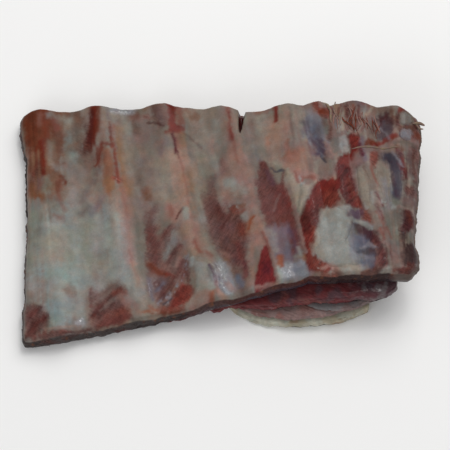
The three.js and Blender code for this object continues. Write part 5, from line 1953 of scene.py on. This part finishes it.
@dataclass
class RibBones:
    """The eight ribs, sawn through at both ends.

    Attributes:
        sides: Corners of a rib's section.
        stations: Sections along it.
        sunk_back: How far its back end lies inside the back edge.
        sunk_front: How far its front end lies inside the front edge.
        flare: How much wider the front end is, as a share.
        wall: Thickness of the hard bone, as a share of the half width.
        marrow_depth: How far the marrow is hollowed out.
    """

    sides: int = 36
    stations: int = 40
    sunk_back: float = 0.4
    sunk_front: float = 7.0
    flare: float = 0.1
    wall: float = 0.3
    marrow_depth: float = 0.5
    centre = 8.0  # height of its middle above the sheet's underside
    height = 9.0
    recess = 1.3  # how far the meat draws back round its end

    def build(self) -> list[bpy.types.Object]:
        """Builds each rib.

        Returns:
            The ribs, from the thin end.
        """
        return [self.rib(number, line) for number, line in enumerate(RACK.ribs, 1)]

    def rib(self, number: int, line: RibLine) -> bpy.types.Object:
        """Builds one rib as rings from the middle of one end to the middle of the other.

        Args:
            number: Its number, from the thin end.
            line: Its middle line and width.

        Returns:
            The piece.
        """
        inner = 1.0 - self.wall
        cap = [(0.35, self.marrow_depth), (inner - 0.12, self.marrow_depth), (inner, 0.05), (0.96, 0.0)]
        rings = [(0.0, size, sunk) for size, sunk in cap]
        rings += [(share, 1.0, 0.0) for share in np.linspace(0, 1, self.stations)]
        rings += [(1.0, size, -sunk) for size, sunk in reversed(cap)]
        turns = np.linspace(0, 2 * np.pi, self.sides, endpoint=False)
        spots = []
        ring_sizes = []
        for along, size, sunk in rings:
            middle = float(line.x_at(along))
            half = line.width / 2 * (1 + self.flare * (1 - along) ** 3) * size
            uneven = 1 + 0.07 * np.sin(2 * turns + 1.7 * number) + 0.05 * np.sin(3 * turns + number)
            uneven += 0.03 * np.sin(5 * turns + 2 * number)
            low = RACK.underside(middle) + self.centre - RACK.slope_down(middle)
            x = middle + half * uneven * np.cos(turns)
            z = low + self.height / 2 * size * uneven * np.sin(turns)
            y = mix(RACK.front_y(middle) + self.sunk_front, RACK.edge_y(x) - self.sunk_back, along) + sunk
            spots.append(np.column_stack([x, y, z]))
            ring_sizes.append(size)
        count = len(spots)
        ends = [spots[0].mean(0), spots[-1].mean(0)]
        points = np.vstack([*spots, *ends])
        grid = np.arange(count * self.sides).reshape(count, self.sides)
        ahead = np.roll(grid, -1, axis=1)
        first, last = len(points) - 2, len(points) - 1
        faces = ring_cells(grid).tolist()
        faces += [[first, a, b] for a, b in zip(grid[0], ahead[0])]
        faces += [[last, b, a] for a, b in zip(grid[-1], ahead[-1])]
        piece = make_mesh(f"rib_bone_{number}", points, faces, SAWN_BONE)
        surface = Surface(points, T.BONE)
        sizes = np.append(np.repeat(ring_sizes, self.sides), [0.0, 0.0])
        blotches = cloud(points, 2.2, 81 + number, 3)
        surface.wash(0.6 * ease(0.0, 0.5, cloud(points, 1.3, 95 + number, 2)), T.FAT_GREY)
        surface.wash(0.9 * (1 - ease(inner - 0.14, inner + 0.1, sizes + 0.16 * blotches)), T.MARROW)
        surface.wash(0.7 * (1 - ease(0.1, 0.5, sizes + 0.25 * blotches)), T.BLOOD_DARK)
        surface.wash(0.65 * ease(0.1, 0.45, blotches) * (sizes > inner - 0.1), T.ROSE_DARK)
        dress(piece, surface)
        return place_piece(piece, "bone", f"rib_{number}")


@dataclass(frozen=True)
class Pad:
    """A lump that lies on the membrane.

    Attributes:
        node: The plain solid that it stands for.
        outline: Points round it, as x and y.
        height: Its height.
        dome: How round it is: 2 is a dome, more is flatter on top.
        fray: How far its edge wanders.
    """

    node: str
    outline: tuple[Place, ...]
    height: float
    dome: float = 3.0
    fray: float = 0.8


@dataclass
class Lumps:
    """Lumps of one kind on the inner face: fat pads or gristle.

    Attributes:
        pads: Their shapes.
        tissue: What they look like.
        edge_tissue: What varies it.
        finish: Their finish.
        slot: Their material slot.
        own: How far their own tissue hides the markings that spread over them.
        sides: Points round a lump.
        rings: Rings from its middle to its edge.
        sunk: How far its edge lies under the membrane.
    """

    pads: tuple[Pad, ...]
    tissue: T
    edge_tissue: T
    finish: Finish
    slot: str
    own: float = 0.0
    sides: int = 96
    rings: int = 26
    sunk: float = 0.5

    def build(self) -> list[bpy.types.Object]:
        """Builds each lump and hands it over.

        Returns:
            The pieces.
        """
        return [self.lump(number, pad) for number, pad in enumerate(self.pads)]

    def lump(self, number: int, pad: Pad) -> bpy.types.Object:
        """Builds one lump, draped on the membrane.

        Args:
            number: Picks its unevenness.
            pad: Its outline and height.

        Returns:
            The piece.
        """
        edge = round_outline(pad.outline, self.sides)
        centre = edge.mean(0)
        wander = cloud(edge, 3.0, 90 + number, 3)
        away = edge - centre
        away /= np.linalg.norm(away, axis=1)[:, None]
        edge = edge + away * (pad.fray * wander)[:, None]
        shares = np.sin(np.linspace(0, np.pi / 2, self.rings + 1))[1:]
        plan = np.vstack([centre + share * (edge - centre) for share in shares])
        share = np.repeat(shares, self.sides)
        rise = pad.height * (1 - share**pad.dome) ** 0.75
        rise += (1 - share**4) * (0.3 * cloud(plan, 6.0, 95 + number, 3) + 0.12 * cloud(plan, 2.0, 96, 2))
        top = RACK.top(*plan.T) + rise - self.sunk * share**8
        under = RACK.top(*plan.T) - self.sunk - 0.4 * (1 - share)
        spots = np.vstack([
            [*centre, float(RACK.top(*centre[:, None])[0]) + pad.height],
            np.column_stack([plan, top]),
            np.column_stack([plan, under])[: -self.sides],
            [*centre, float(RACK.top(*centre[:, None])[0]) - self.sunk - 0.4],
        ])
        upper = 1 + np.arange(self.rings * self.sides).reshape(self.rings, self.sides)
        lower = upper[-1, -1] + 1 + np.arange((self.rings - 1) * self.sides)
        lower = np.vstack([lower.reshape(-1, self.sides), upper[-1:]])
        faces = [[0, a, b] for a, b in zip(upper[0], np.roll(upper[0], -1))]
        for grid, order in ((upper, (0, 1, 2, 3)), (lower, (3, 2, 1, 0))):
            faces += ring_cells(grid)[:, order].tolist()
        last = len(spots) - 1
        faces += [[last, b, a] for a, b in zip(lower[0], np.roll(lower[0], -1))]
        piece = make_mesh(pad.node + "_lump", spots, faces, self.finish)
        surface = Surface(spots, self.tissue)
        size = np.concatenate([[0], share, share[: -self.sides], [0]])
        noise = cloud(spots, 5.0, 97 + number, 3)
        for group in INNER_FACE:
            for mark in group:
                mark.paint(surface, spots[:, :2])
        surface.wash(self.own * (1 - ease(0.7, 1.0, size + 0.2 * noise)), self.tissue)
        surface.wash(0.25 * ease(0.0, 0.6, cloud(spots, 7.0, 98 + number, 3)), self.edge_tissue)
        surface.vary(4.0, 0.08, 99)
        dress(piece, surface)
        return place_piece(piece, self.slot, pad.node)


def round_outline(knots: Sequence[Place], count: int) -> Array:
    """Rounds a closed outline and spaces its points evenly.

    Args:
        knots: Points that it runs through, anticlockwise.
        count: How many points to give back.

    Returns:
        A row of x and y for each.
    """
    line = rounded(ring_of(np.asarray(knots, float)), 12)
    length = np.concatenate([[0], np.cumsum(np.linalg.norm(np.diff(line, axis=0), axis=1))])
    at = np.linspace(0, length[-1], count, endpoint=False)
    return np.stack([np.interp(at, length, line[:, axis]) for axis in (0, 1)], axis=1)


# ---- the outer layers ---------------------------------------------------------------------------------


@dataclass(frozen=True)
class Layer:
    """One outer layer under the rib sheet.

    Attributes:
        node: The plain solid that it stands for.
        slot: Its material slot.
        x: Where it starts and ends along the rack.
        front: Its front edge at x.
        back_inset: How far it stays behind the back edge.
        bottom: Height of its underside at x.
        top: Height of its upper side at x.
        tissues: Its ground, what varies it and what streaks its cut front.
        end_tissue: What it turns into towards the thick end.
        ragged: How far its front edge wanders.
        rings: Rings of cells down its walls.
    """

    node: str
    slot: str
    x: Place
    front: Callable[[Array], Array]
    back_inset: float
    bottom: Callable[[Array], Array]
    top: Callable[[Array], Array]
    tissues: tuple[T, T, T]
    end_tissue: T
    ragged: float
    rings: int = 6


@dataclass
class OuterLayers:
    """Dark meat, white connective sheet, pale meat and fat, whose cut edges show in front.

    Attributes:
        gap: Space between two layers.
        fat: Height of the fat's upper side, and between which x it rises.
        pink: The same for the pale meat.
        fascia: Thickness of the connective sheet.
        bow: The front edge's bow for fat and pale meat: middle x, reach and depth.
        fascia_bow: The same for the connective sheet.
        taper: How far these edges go back at their thin end, from which x and over how far.
        dark_out: How far the dark meat comes out from under the sheet, and between which x.
        dark_back: How far it goes back at the thick end, from which x and over how far.
    """

    gap: float = 0.3
    fat: tuple[float, float, float] = (8.0, -20.0, 60.0)
    pink: tuple[float, float, float] = (14.5, -40.0, 72.0)
    fascia: float = 1.3
    bow: tuple[float, float, float] = (45.0, 42.0, 10.0)
    fascia_bow: tuple[float, float, float] = (66.0, 20.0, 8.0)
    taper: tuple[float, float, float] = (4.0, 22.0, 18.0)
    dark_out: tuple[float, float, float] = (9.6, -10.0, 45.0)
    dark_back: tuple[float, float, float] = (7.0, 88.0, 14.0)

    def fat_top(self, x: Array) -> Array:
        """Height of the fat's upper side."""
        height, start, end = self.fat
        return height * ease(start, end, x)

    def pink_top(self, x: Array) -> Array:
        """Height of the pale meat's upper side."""
        height, start, end = self.pink
        return height * ease(start, end, x)

    def bowed(self, front: float, bow: tuple[float, float, float]) -> Callable[[Array], Array]:
        """Makes a front edge that bows outwards in the middle and tapers in at its thin end.

        Args:
            front: The edge's y in the middle.
            bow: Middle x, reach and depth of the bow.

        Returns:
            The edge's y as a function of x.
        """
        middle, reach, depth = bow
        back, start, over = self.taper

        def edge(x: Array) -> Array:
            """The edge's y."""
            bowed = front + depth * ((x - middle) / reach) ** 2
            return bowed + back * np.clip((start - x) / over, 0, 1) ** 2

        return edge

    def dark_front(self, x: Array) -> Array:
        """The dark meat's front edge, which comes out from under the rib sheet.

        Args:
            x: Places along the rack.

        Returns:
            The edge's y at each.
        """
        out, out_from, out_to = self.dark_out
        back, start, over = self.dark_back
        edge = RACK.front_y(x) + 1 - out * ease(out_from, out_to, x)
        return edge + back * np.clip((x - start) / over, 0, 1) ** 2

    def layers(self) -> tuple[Layer, ...]:
        """Lists the layers.

        Returns:
            The layers, from the lowest up.
        """
        gap = self.gap
        return (
            Layer(
                "outer_fat", "cover_fat", (4, 87), self.bowed(-64.4, self.bow), 6.0,
                lambda x: np.zeros_like(x), self.fat_top,
                (T.LAYER_FAT, T.LAYER_CREAM, T.LAYER_PEACH), T.LAYER_CREAM, 1.6, 8,
            ),
            Layer(
                "outer_pink_meat", "pink_meat", (-14, 90), self.bowed(-61.5, self.bow), 5.0,
                lambda x: self.fat_top(x) + gap * ease(-2, 4, x), self.pink_top,
                (T.LAYER_PINK, T.LAYER_RED, T.LAYER_GREY), T.LAYER_GREY, 1.5,
            ),
            Layer(
                "outer_fascia", "fascia", (48, 91), self.bowed(-59.3, self.fascia_bow), 9.0,
                lambda x: self.pink_top(x) + gap, lambda x: self.pink_top(x) + gap + self.fascia,
                (T.LAYER_GREY, T.LAYER_GREY, T.LAYER_PINK), T.LAYER_PINK, 1.2, 4,
            ),
            Layer(
                "outer_dark_meat", "dark_meat", (-34, 102), self.dark_front, 3.5,
                lambda x: self.pink_top(x) + gap + (self.fascia + gap) * ease(30, 46, x),
                lambda x: RACK.underside(x) - gap,
                (T.LAYER_MAROON, T.LAYER_PURPLE, T.LAYER_RED), T.LAYER_PURPLE, 2.6,
            ),
        )

    def build(self) -> list[bpy.types.Object]:
        """Builds each layer.

        Returns:
            The pieces, from the lowest up.
        """
        return [self.layer(number, layer) for number, layer in enumerate(self.layers())]

    def layer(self, number: int, layer: Layer) -> bpy.types.Object:
        """Builds one layer as a closed slab with a ragged front.

        Args:
            number: Picks its unevenness.
            layer: Its shape and tissues.

        Returns:
            The piece.
        """
        shell = Shell(columns=240, rows=48, rings=layer.rings, coarse=4, swell=1.0)

        def plan(shares: Array) -> Array:
            """Finds places on the layer, closer together near its front.

            Args:
                shares: From 0 to 1 along and across the layer.

            Returns:
                A row of x and y for each.
            """
            u, v = pull_corners(shares)
            x = mix(*layer.x, u)
            line = np.stack([x, np.full_like(x, 9.0 * number)], axis=1)
            front = layer.front(x) + layer.ragged * cloud(line, 7.0, 101 + number, 4)
            back = RACK.back_y(x) - layer.back_inset + 2 * cloud(line, 9.0, 151 + number, 3)
            y = mix(front, back, v**1.7)
            side = np.stack([90.0 * np.sign(shares[:, 0] - 0.5) + 5 * number, y], axis=1)
            x = x + 1.8 * ease(0.9, 1, np.abs(2 * u - 1)) * cloud(side, 8.0, 141 + number, 4)
            return np.stack([x, y], axis=1)

        shares = shell.top_shares()
        spots = plan(shares)
        low, high = layer.bottom(spots[:, 0]), layer.top(spots[:, 0])
        thick = np.maximum(high - low, 0.15)
        edge = np.minimum(1.2, 0.45 * thick)
        depth = spots[:, 1] - layer.front(spots[:, 0])
        drop = edge * (1 - np.sqrt(np.clip(1 - np.clip(1 - depth / 3.0, 0, 1) ** 2, 0, 1)))
        wavy = np.minimum(0.5, 0.2 * thick) * (cloud(spots, 6.0, 111 + number, 3) - 0.7)
        top = np.column_stack([spots, low + thick - drop + wavy])

        def push(at: Array, height: Array) -> Array:
            """How far the cut wall stands out in rags."""
            rags = 0.6 * cloud(at, 3.5, 121 + number, 3) + 0.35 * cloud(at * [1, 1, 2], 1.4, 122, 2)
            return rags * np.sin(np.pi * np.clip(height, 0.08, 1)) - 0.3

        def floor(x: Array, y: Array) -> Array:
            """Height of its underside."""
            return layer.bottom(x) + 0.05

        points = shell.build(top, plan(shell.low_shares()), floor, push)
        surface = Surface(points, layer.tissues[0])
        streaks = cloud(points * [0.35, 0.35, 1.0], 2.6, 131 + number, 3)
        surface.wash(0.65 * ease(0.0, 0.4, cloud(points, 9.0, 132 + number, 3)), layer.tissues[1])
        surface.wash(0.55 * ease(0.15, 0.5, streaks), layer.tissues[2])
        surface.wash(0.7 * ease(66, 96, points[:, 0] + 8 * streaks), layer.end_tissue)
        tufts = ease(0.1, 0.4, cloud(points, 4.0, 137, 3)) * ease(70, 84, points[:, 0])
        surface.wash(0.6 * tufts, T.LAYER_GREY)
        surface.vary(2.5, 0.14, 135)
        ripples = cloud(points * [0.7, 0.7, 1.0], 2.4, 136, 2)
        surface.wet = np.clip(surface.wet + 0.5 * ease(0.35, 0.6, ripples), 0, 1)
        piece = make_mesh(layer.node + "_layer", points, shell.faces(), OUTER_FLESH)
        dress(piece, surface)
        return place_piece(piece, layer.slot, layer.node)


# ---- what follows a path: geometry nodes --------------------------------------------------------------


class PathTree:
    """A Geometry Nodes tree that makes something of lines, and runs it."""

    def __init__(self, name: str, inputs: dict[str, tuple[str, float]]) -> None:
        """Starts a tree.

        Args:
            name: Its name.
            inputs: For each named input, its kind of socket and its value.
        """
        self.tree = bpy.data.node_groups.new(name, "GeometryNodeTree")
        face = self.tree.interface
        face.new_socket("Geometry", in_out="INPUT", socket_type="NodeSocketGeometry")
        face.new_socket("Geometry", in_out="OUTPUT", socket_type="NodeSocketGeometry")
        self.values = {}
        for label, (kind, value) in inputs.items():
            socket = face.new_socket(label, in_out="INPUT", socket_type=kind)
            self.values[socket.identifier] = value
        self.bench = NodeBench(self.tree)
        self.start = self.bench.add("NodeGroupInput")

    def end(self, geometry: bpy.types.NodeSocket, finish: Finish) -> None:
        """Closes the tree with real geometry and its material.

        Args:
            geometry: What the tree has made.
            finish: Its finish.
        """
        real = self.bench.add("GeometryNodeRealizeInstances", {0: geometry}).outputs[0]
        dressed = self.bench.add("GeometryNodeSetMaterial", {0: real, "Material": finish.material()})
        smooth = self.bench.add("GeometryNodeSetShadeSmooth", {0: dressed.outputs[0]})
        self.bench.add("NodeGroupOutput", {0: smooth.outputs[0]})

    def run(self, name: str, lines: Sequence[Array], radii: Sequence[Array]) -> bpy.types.Object:
        """Runs the tree on a set of lines.

        Args:
            name: Name of the finished piece.
            lines: Points of each line, in millimetres.
            radii: Half width at each of those points, in millimetres.

        Returns:
            The finished piece, as a plain mesh.
        """
        curve = bpy.data.curves.new(name + "_lines", "CURVE")
        curve.dimensions = "3D"
        for line, half in zip(lines, radii):
            spline = curve.splines.new("POLY")
            spline.points.add(len(line) - 1)
            places = np.column_stack([line * MM, np.ones(len(line))])
            spline.points.foreach_set("co", places.ravel())
            spline.points.foreach_set("radius", np.asarray(half, float) * MM)
        source = add_object(name + "_lines", curve)
        modifier = source.modifiers.new("path", "NODES")
        modifier.node_group = self.tree
        for identifier, value in self.values.items():
            modifier[identifier] = value
        graph = bpy.context.evaluated_depsgraph_get()
        mesh = bpy.data.meshes.new_from_object(source.evaluated_get(graph))
        source.modifiers.clear()
        bpy.data.objects.remove(source)
        mesh.name = name
        return add_object(name, mesh)


def thread_tree(name: str, finish: Finish, sides: int, step: float, wobble: float) -> PathTree:
    """A tree that makes a thread of each line, thick or thin as the line's radius says.

    Args:
        name: Name of the tree.
        finish: The threads' finish.
        sides: Corners of a thread's section.
        step: Distance between its rings, in millimetres.
        wobble: How far it wanders off its line, in millimetres.

    Returns:
        The tree.
    """
    tree = PathTree(name, {
        "Sides": ("NodeSocketInt", sides),
        "Step": ("NodeSocketFloat", step * MM),
        "Wobble": ("NodeSocketFloat", wobble * MM),
        "Seed": ("NodeSocketInt", 7),
    })
    bench, start = tree.bench, tree.start.outputs
    inputs = {"Curve": start["Geometry"], "Length": start["Step"]}
    even = bench.add("GeometryNodeResampleCurve", inputs, mode="LENGTH")
    noise = bench.add("ShaderNodeTexNoise", {"Scale": 240.0, "W": start["Seed"]}, noise_dimensions="4D")
    inputs = {0: noise.outputs["Color"], 1: (0.5, 0.5, 0.5)}
    centred = bench.add("ShaderNodeVectorMath", inputs, operation="SUBTRACT")
    inputs = {0: centred.outputs[0], "Scale": start["Wobble"]}
    shift = bench.add("ShaderNodeVectorMath", inputs, operation="SCALE")
    moved = bench.add("GeometryNodeSetPosition", {0: even.outputs[0], "Offset": shift.outputs[0]})
    ring = bench.add("GeometryNodeCurvePrimitiveCircle", {"Resolution": start["Sides"], "Radius": 1.0})
    radius = bench.add("GeometryNodeInputRadius")
    inputs = {"Curve": moved.outputs[0], "Profile Curve": ring.outputs[0], "Fill Caps": True}
    tube = bench.add("GeometryNodeCurveToMesh", inputs)
    if "Scale" in tube.inputs:
        tree.tree.links.new(radius.outputs[0], tube.inputs["Scale"])
    tree.end(tube.outputs[0], finish)
    return tree


@dataclass(frozen=True)
class Thread:
    """A line of sinew on the inner face.

    Attributes:
        path: Places that it runs through: station and along by turns, in hundredths.
        width: Its width.
        rise: How far it stands above the membrane at its middle and at its end.
    """

    path: tuple[int, ...]
    width: float
    rise: tuple[float, float] = (0.2, 0.0)


@dataclass
class Strands:
    """Sinew strands, the frayed strands and the front edge's loose threads.

    Attributes:
        sinews: The sinews.
        loose_count: How many loose threads there are.
        loose_length: Length of the longest.
        loose_between: The x between which they hang.
        loose_roots: Heights on the front wall between which they start.
        loose_halves: Least and greatest half width.
        frayed_between: Stations between which the back edge is frayed, in hundredths.
        frayed_down: How far along the points of a frayed strand are, in hundredths.
    """

    sinews: tuple[Thread, ...]
    loose_count: int = 150
    loose_length: float = 4.2
    loose_between: Place = (-112.0, 108.0)
    loose_roots: Place = (3.0, 11.0)
    loose_halves: Place = (0.12, 0.3)
    frayed_between: Place = (640.0, 735.0)
    frayed_down: tuple[float, ...] = (99.0, 96.0, 92.0, 88.0, 84.0)

    def lift(self, plan: Array, rise: Array) -> Array:
        """Lays a line of x and y on the membrane, or above it by rise."""
        return np.column_stack([plan, RACK.top(*plan.T) + rise])

    def sinew_lines(self) -> tuple[list[Array], list[Array]]:
        """Finds the lines of the sinews.

        Returns:
            The lines, and the half widths at their points.
        """
        lines, radii = [], []
        for sinew in self.sinews:
            plan = Stroke(T.FAT_CREAM, sinew.path).line()
            share = np.linspace(0, 1, len(plan))
            rise = mix(*sinew.rise, share) + 0.15 * np.sin(np.pi * share)
            lines.append(self.lift(plan, rise))
            taper = 0.25 + 0.75 * np.sin(np.pi * np.clip(share, 0.02, 0.98)) ** 0.6
            radii.append(sinew.width / 2 * taper)
        return lines, radii

    def frayed_lines(self, seed: int, count: int, width: float) -> tuple[list[Array], list[Array]]:
        """Finds the lines of the frayed strands at the back edge.

        Args:
            seed: Picks where they are.
            count: How many.
            width: Width of the thickest.

        Returns:
            The lines, and the half widths at their points.
        """
        draw = np.random.default_rng(seed)
        lines, radii = [], []
        for station in draw.uniform(*self.frayed_between, count):
            down = np.array(self.frayed_down) - draw.uniform(0, 5)
            aside = station + np.cumsum(draw.normal(0, 8, len(down)))
            steps = np.stack([aside, down], axis=1).round().astype(int)
            plan = Stroke(T.ROSE, tuple(steps.ravel())).line()
            share = np.linspace(0, 1, len(plan))
            rise = 0.6 * np.sin(5 * share + station) - 0.5 * share - 1.2 * (1 - share) ** 4
            lines.append(self.lift(plan, rise))
            radii.append(width * draw.uniform(0.2, 0.5) * np.sin(np.pi * np.clip(share, 0.1, 0.9)))
        return lines, radii

    def loose_lines(self) -> tuple[list[Array], list[Array]]:
        """Finds the lines of the loose threads along the front edge.

        Returns:
            The lines, and the half widths at their points.
        """
        draw = np.random.default_rng(11)
        lines, radii = [], []
        for x in draw.uniform(*self.loose_between, self.loose_count):
            root_z = RACK.underside(x) + draw.uniform(*self.loose_roots) - RACK.slope_down(x)
            root = np.array([x, float(RACK.front_y(x)) + 0.4, root_z])
            reach = draw.uniform(0.4, 1.0) * self.loose_length
            aim = np.array([draw.normal(0, 0.8), -0.45, -draw.uniform(0.2, 0.9)])
            bend = np.array([draw.normal(0, 0.6), 0.1, -0.5])
            t = np.linspace(0, 1, 6)[:, None]
            line = root + reach * (aim * t + bend * t**2) * 0.7
            line[:, 1] = np.maximum(line[:, 1], root[1] - 2.6)
            line[:, 2] = np.maximum(line[:, 2], 0.4)
            lines.append(line)
            radii.append(draw.uniform(*self.loose_halves) * (1 - 0.8 * t[:, 0]))
        return lines, radii

    def build(self) -> list[bpy.types.Object]:
        """Builds every kind of strand.

        Returns:
            The pieces.
        """
        sinew = thread_tree("sinew_strands", SINEW, 8, 0.7, 0.25)
        loose = thread_tree("loose_threads", THREAD, 5, 0.8, 0.3)
        pale = thread_tree("pale_frayed_strands", PALE_FRAY, 6, 0.6, 0.3)
        red = thread_tree("red_frayed_strands", RED_FRAY, 6, 0.6, 0.3)
        return [
            place_piece(pale.run("pale_frayed_strands", *self.frayed_lines(31, 16, 1.3)), "fascia"),
            place_piece(red.run("red_frayed_strands", *self.frayed_lines(32, 14, 1.1)), "rib_sheet_meat"),
            place_piece(sinew.run("sinew_strands", *self.sinew_lines()), "fascia"),
            place_piece(loose.run("loose_threads", *self.loose_lines()), "rib_sheet_meat"),
        ]


# ---- fat pads, gristle and sinews ---------------------------------------------------------------------

BROAD_PAD = Pad(
    "fat_pad_broad",
    ((63, -3), (72, -5), (78, -9), (76, -18), (73, -26), (77, -33), (83, -38), (80, -41.5), (68, -42),
        (60, -38), (54, -31), (56.5, -24), (58, -12)),
    height=2.4,
    dome=2.2,
    fray=1.0,
)
LONG_PAD = Pad(
    "fat_pad_long",
    ((79.5, 25), (83, 24), (86.5, 19), (87.5, 10), (87.5, 0), (88, -7.5), (84.5, -8), (81, -1), (80.5, 9)),
    height=1.0,
    dome=2,
)
NECK_PAD = Pad(
    "fat_pad_neck",
    ((91, 28), (97.5, 28.5), (100.5, 20), (101, 8), (100, -2), (96, -3), (93, 7), (91, 17)),
    height=1.0,
    dome=2,
)
FAT_PADS = Lumps((BROAD_PAD, LONG_PAD, NECK_PAD), T.FAT_WHITE, T.FAT_CREAM, CUT_FAT, "pad_fat")
GRISTLE = Lumps(
    (
        Pad("gristle_corner", ((106, 57), (110, 59), (114, 57.5), (114, 52), (110, 50), (106.5, 51)), 0.9),
        Pad("gristle_inner", ((106, 46), (110, 48), (113, 46.5), (113, 42), (109.5, 40), (106.5, 41)), 0.8),
    ),
    T.GRISTLE,
    T.ROSE_GREY,
    CARTILAGE,
    "gristle",
    own=0.2,
    sides=64,
    rings=16,
)
SINEWS = (
    Thread((860, 93, 890, 95, 915, 94), 2.0, (0.1, 0.8)),
    Thread((870, 95, 890, 92, 910, 92), 1.3, (0.0, 0.2)),
    Thread((610, 98, 620, 94, 615, 88, 630, 83), 1.6, (-0.3, -0.5)),
    Thread((640, 100, 630, 94, 645, 88), 1.3, (-0.2, -0.4)),
    Thread((655, 98, 645, 92, 635, 85), 1.2, (-0.2, -0.4)),
    Thread((655, 72, 700, 73, 760, 74, 795, 75), 1.5, (-0.4, -0.4)),
)


# ---- the set ------------------------------------------------------------------------------------------


@dataclass(frozen=True)
class Lamp:
    """A soft square light that faces the rack.

    Attributes:
        name: Its name.
        place: Where it is, in millimetres.
        size: Its side.
        power: Its strength in watts.
        tint: Its colour.
    """

    name: str
    place: tuple[float, float, float]
    size: float
    power: float
    tint: tuple[float, float, float]

    def hang(self) -> None:
        """Adds the light to the scene."""
        data = bpy.data.lights.new(self.name, "AREA")
        data.size = self.size * MM
        data.energy = self.power
        data.color = self.tint
        lamp = add_object(self.name, data)
        spot = np.array(self.place)
        away = -spot / np.linalg.norm(spot)
        lamp.location = spot * MM
        turn = math.atan2(away[0], -away[1])
        lamp.rotation_euler = (math.acos(-away[2]), 0.0, turn + math.pi)


LAMPS = (
    Lamp("key", (420.0, 800.0, 1400.0), 1200.0, 16.0, (1.0, 0.99, 0.97)),
    Lamp("spark", (350.0, 650.0, 1400.0), 150.0, 1.4, (1.0, 1.0, 1.0)),
    Lamp("fill", (-700.0, -1300.0, 700.0), 1200.0, 6.7, (0.98, 0.99, 1.0)),
)


@dataclass
class Studio:
    """A pale floor, soft light and the camera.

    Attributes:
        aim: The place that the camera looks at.
        elevation: How far above the horizon the camera is, in degrees.
        distance: Its distance from there.
        lens: Its focal length.
        sensor: Width of its sensor.
        surround: Strength of the light from all round.
        floor_size: Side of the floor.
        floor_drop: How far it lies under the rack.
    """

    aim: tuple[float, float, float] = (1.8, -3.64, 14.27)
    elevation: float = 66.0
    distance: float = 1300.0
    lens: float = 173.3
    sensor: float = 36.0
    surround: float = 0.43
    floor_size: float = 6000.0
    floor_drop: float = 0.1

    def camera(self) -> None:
        """Sets the camera where the photograph was taken from."""
        data = bpy.data.cameras.new("camera")
        data.lens = self.lens
        data.sensor_width = self.sensor
        data.clip_start = 0.05
        data.clip_end = 20.0
        camera = add_object("camera", data)
        rise = math.radians(self.elevation)
        back = np.array([0.0, -math.cos(rise), math.sin(rise)])
        camera.location = (np.array(self.aim) + self.distance * back) * MM
        camera.rotation_euler = (math.radians(90.0 - self.elevation), 0.0, 0.0)
        bpy.context.scene.camera = camera

    def floor(self) -> None:
        """Lays the floor just under the rack."""
        half = self.floor_size / 2
        signs = ((-1, -1), (1, -1), (1, 1), (-1, 1))
        corners = np.array([[a * half, b * half, -self.floor_drop] for a, b in signs])
        mesh = bpy.data.meshes.new("floor")
        mesh.from_pydata((corners * MM).tolist(), [], [[0, 1, 2, 3]])
        material = bpy.data.materials.new("pale_floor")
        material.use_nodes = True
        shader = material.node_tree.nodes["Principled BSDF"]
        shader.inputs["Base Color"].default_value = (0.9, 0.9, 0.9, 1.0)
        shader.inputs["Roughness"].default_value = 0.9
        shader.inputs["Specular IOR Level"].default_value = 0.0
        mesh.materials.append(material)
        floor = add_object("floor", mesh)

    def build(self) -> None:
        """Sets everything up."""
        self.camera()
        self.floor()
        world = bpy.data.worlds.new("studio")
        world.use_nodes = True
        sky = world.node_tree.nodes["Background"]
        sky.inputs["Color"].default_value = (1.0, 1.0, 1.0, 1.0)
        sky.inputs["Strength"].default_value = self.surround
        bpy.context.scene.world = world
        bpy.context.scene.view_settings.view_transform = "Standard"
        for lamp in LAMPS:
            lamp.hang()


def main() -> None:
    """Builds the set and every piece."""
    logging.basicConfig(level=logging.INFO, format="%(message)s")
    Studio().build()
    RibSheet().build()
    RibBones().build()
    FAT_PADS.build()
    GRISTLE.build()
    OuterLayers().build()
    Strands(SINEWS).build()


if __name__ == "__main__":
    main()
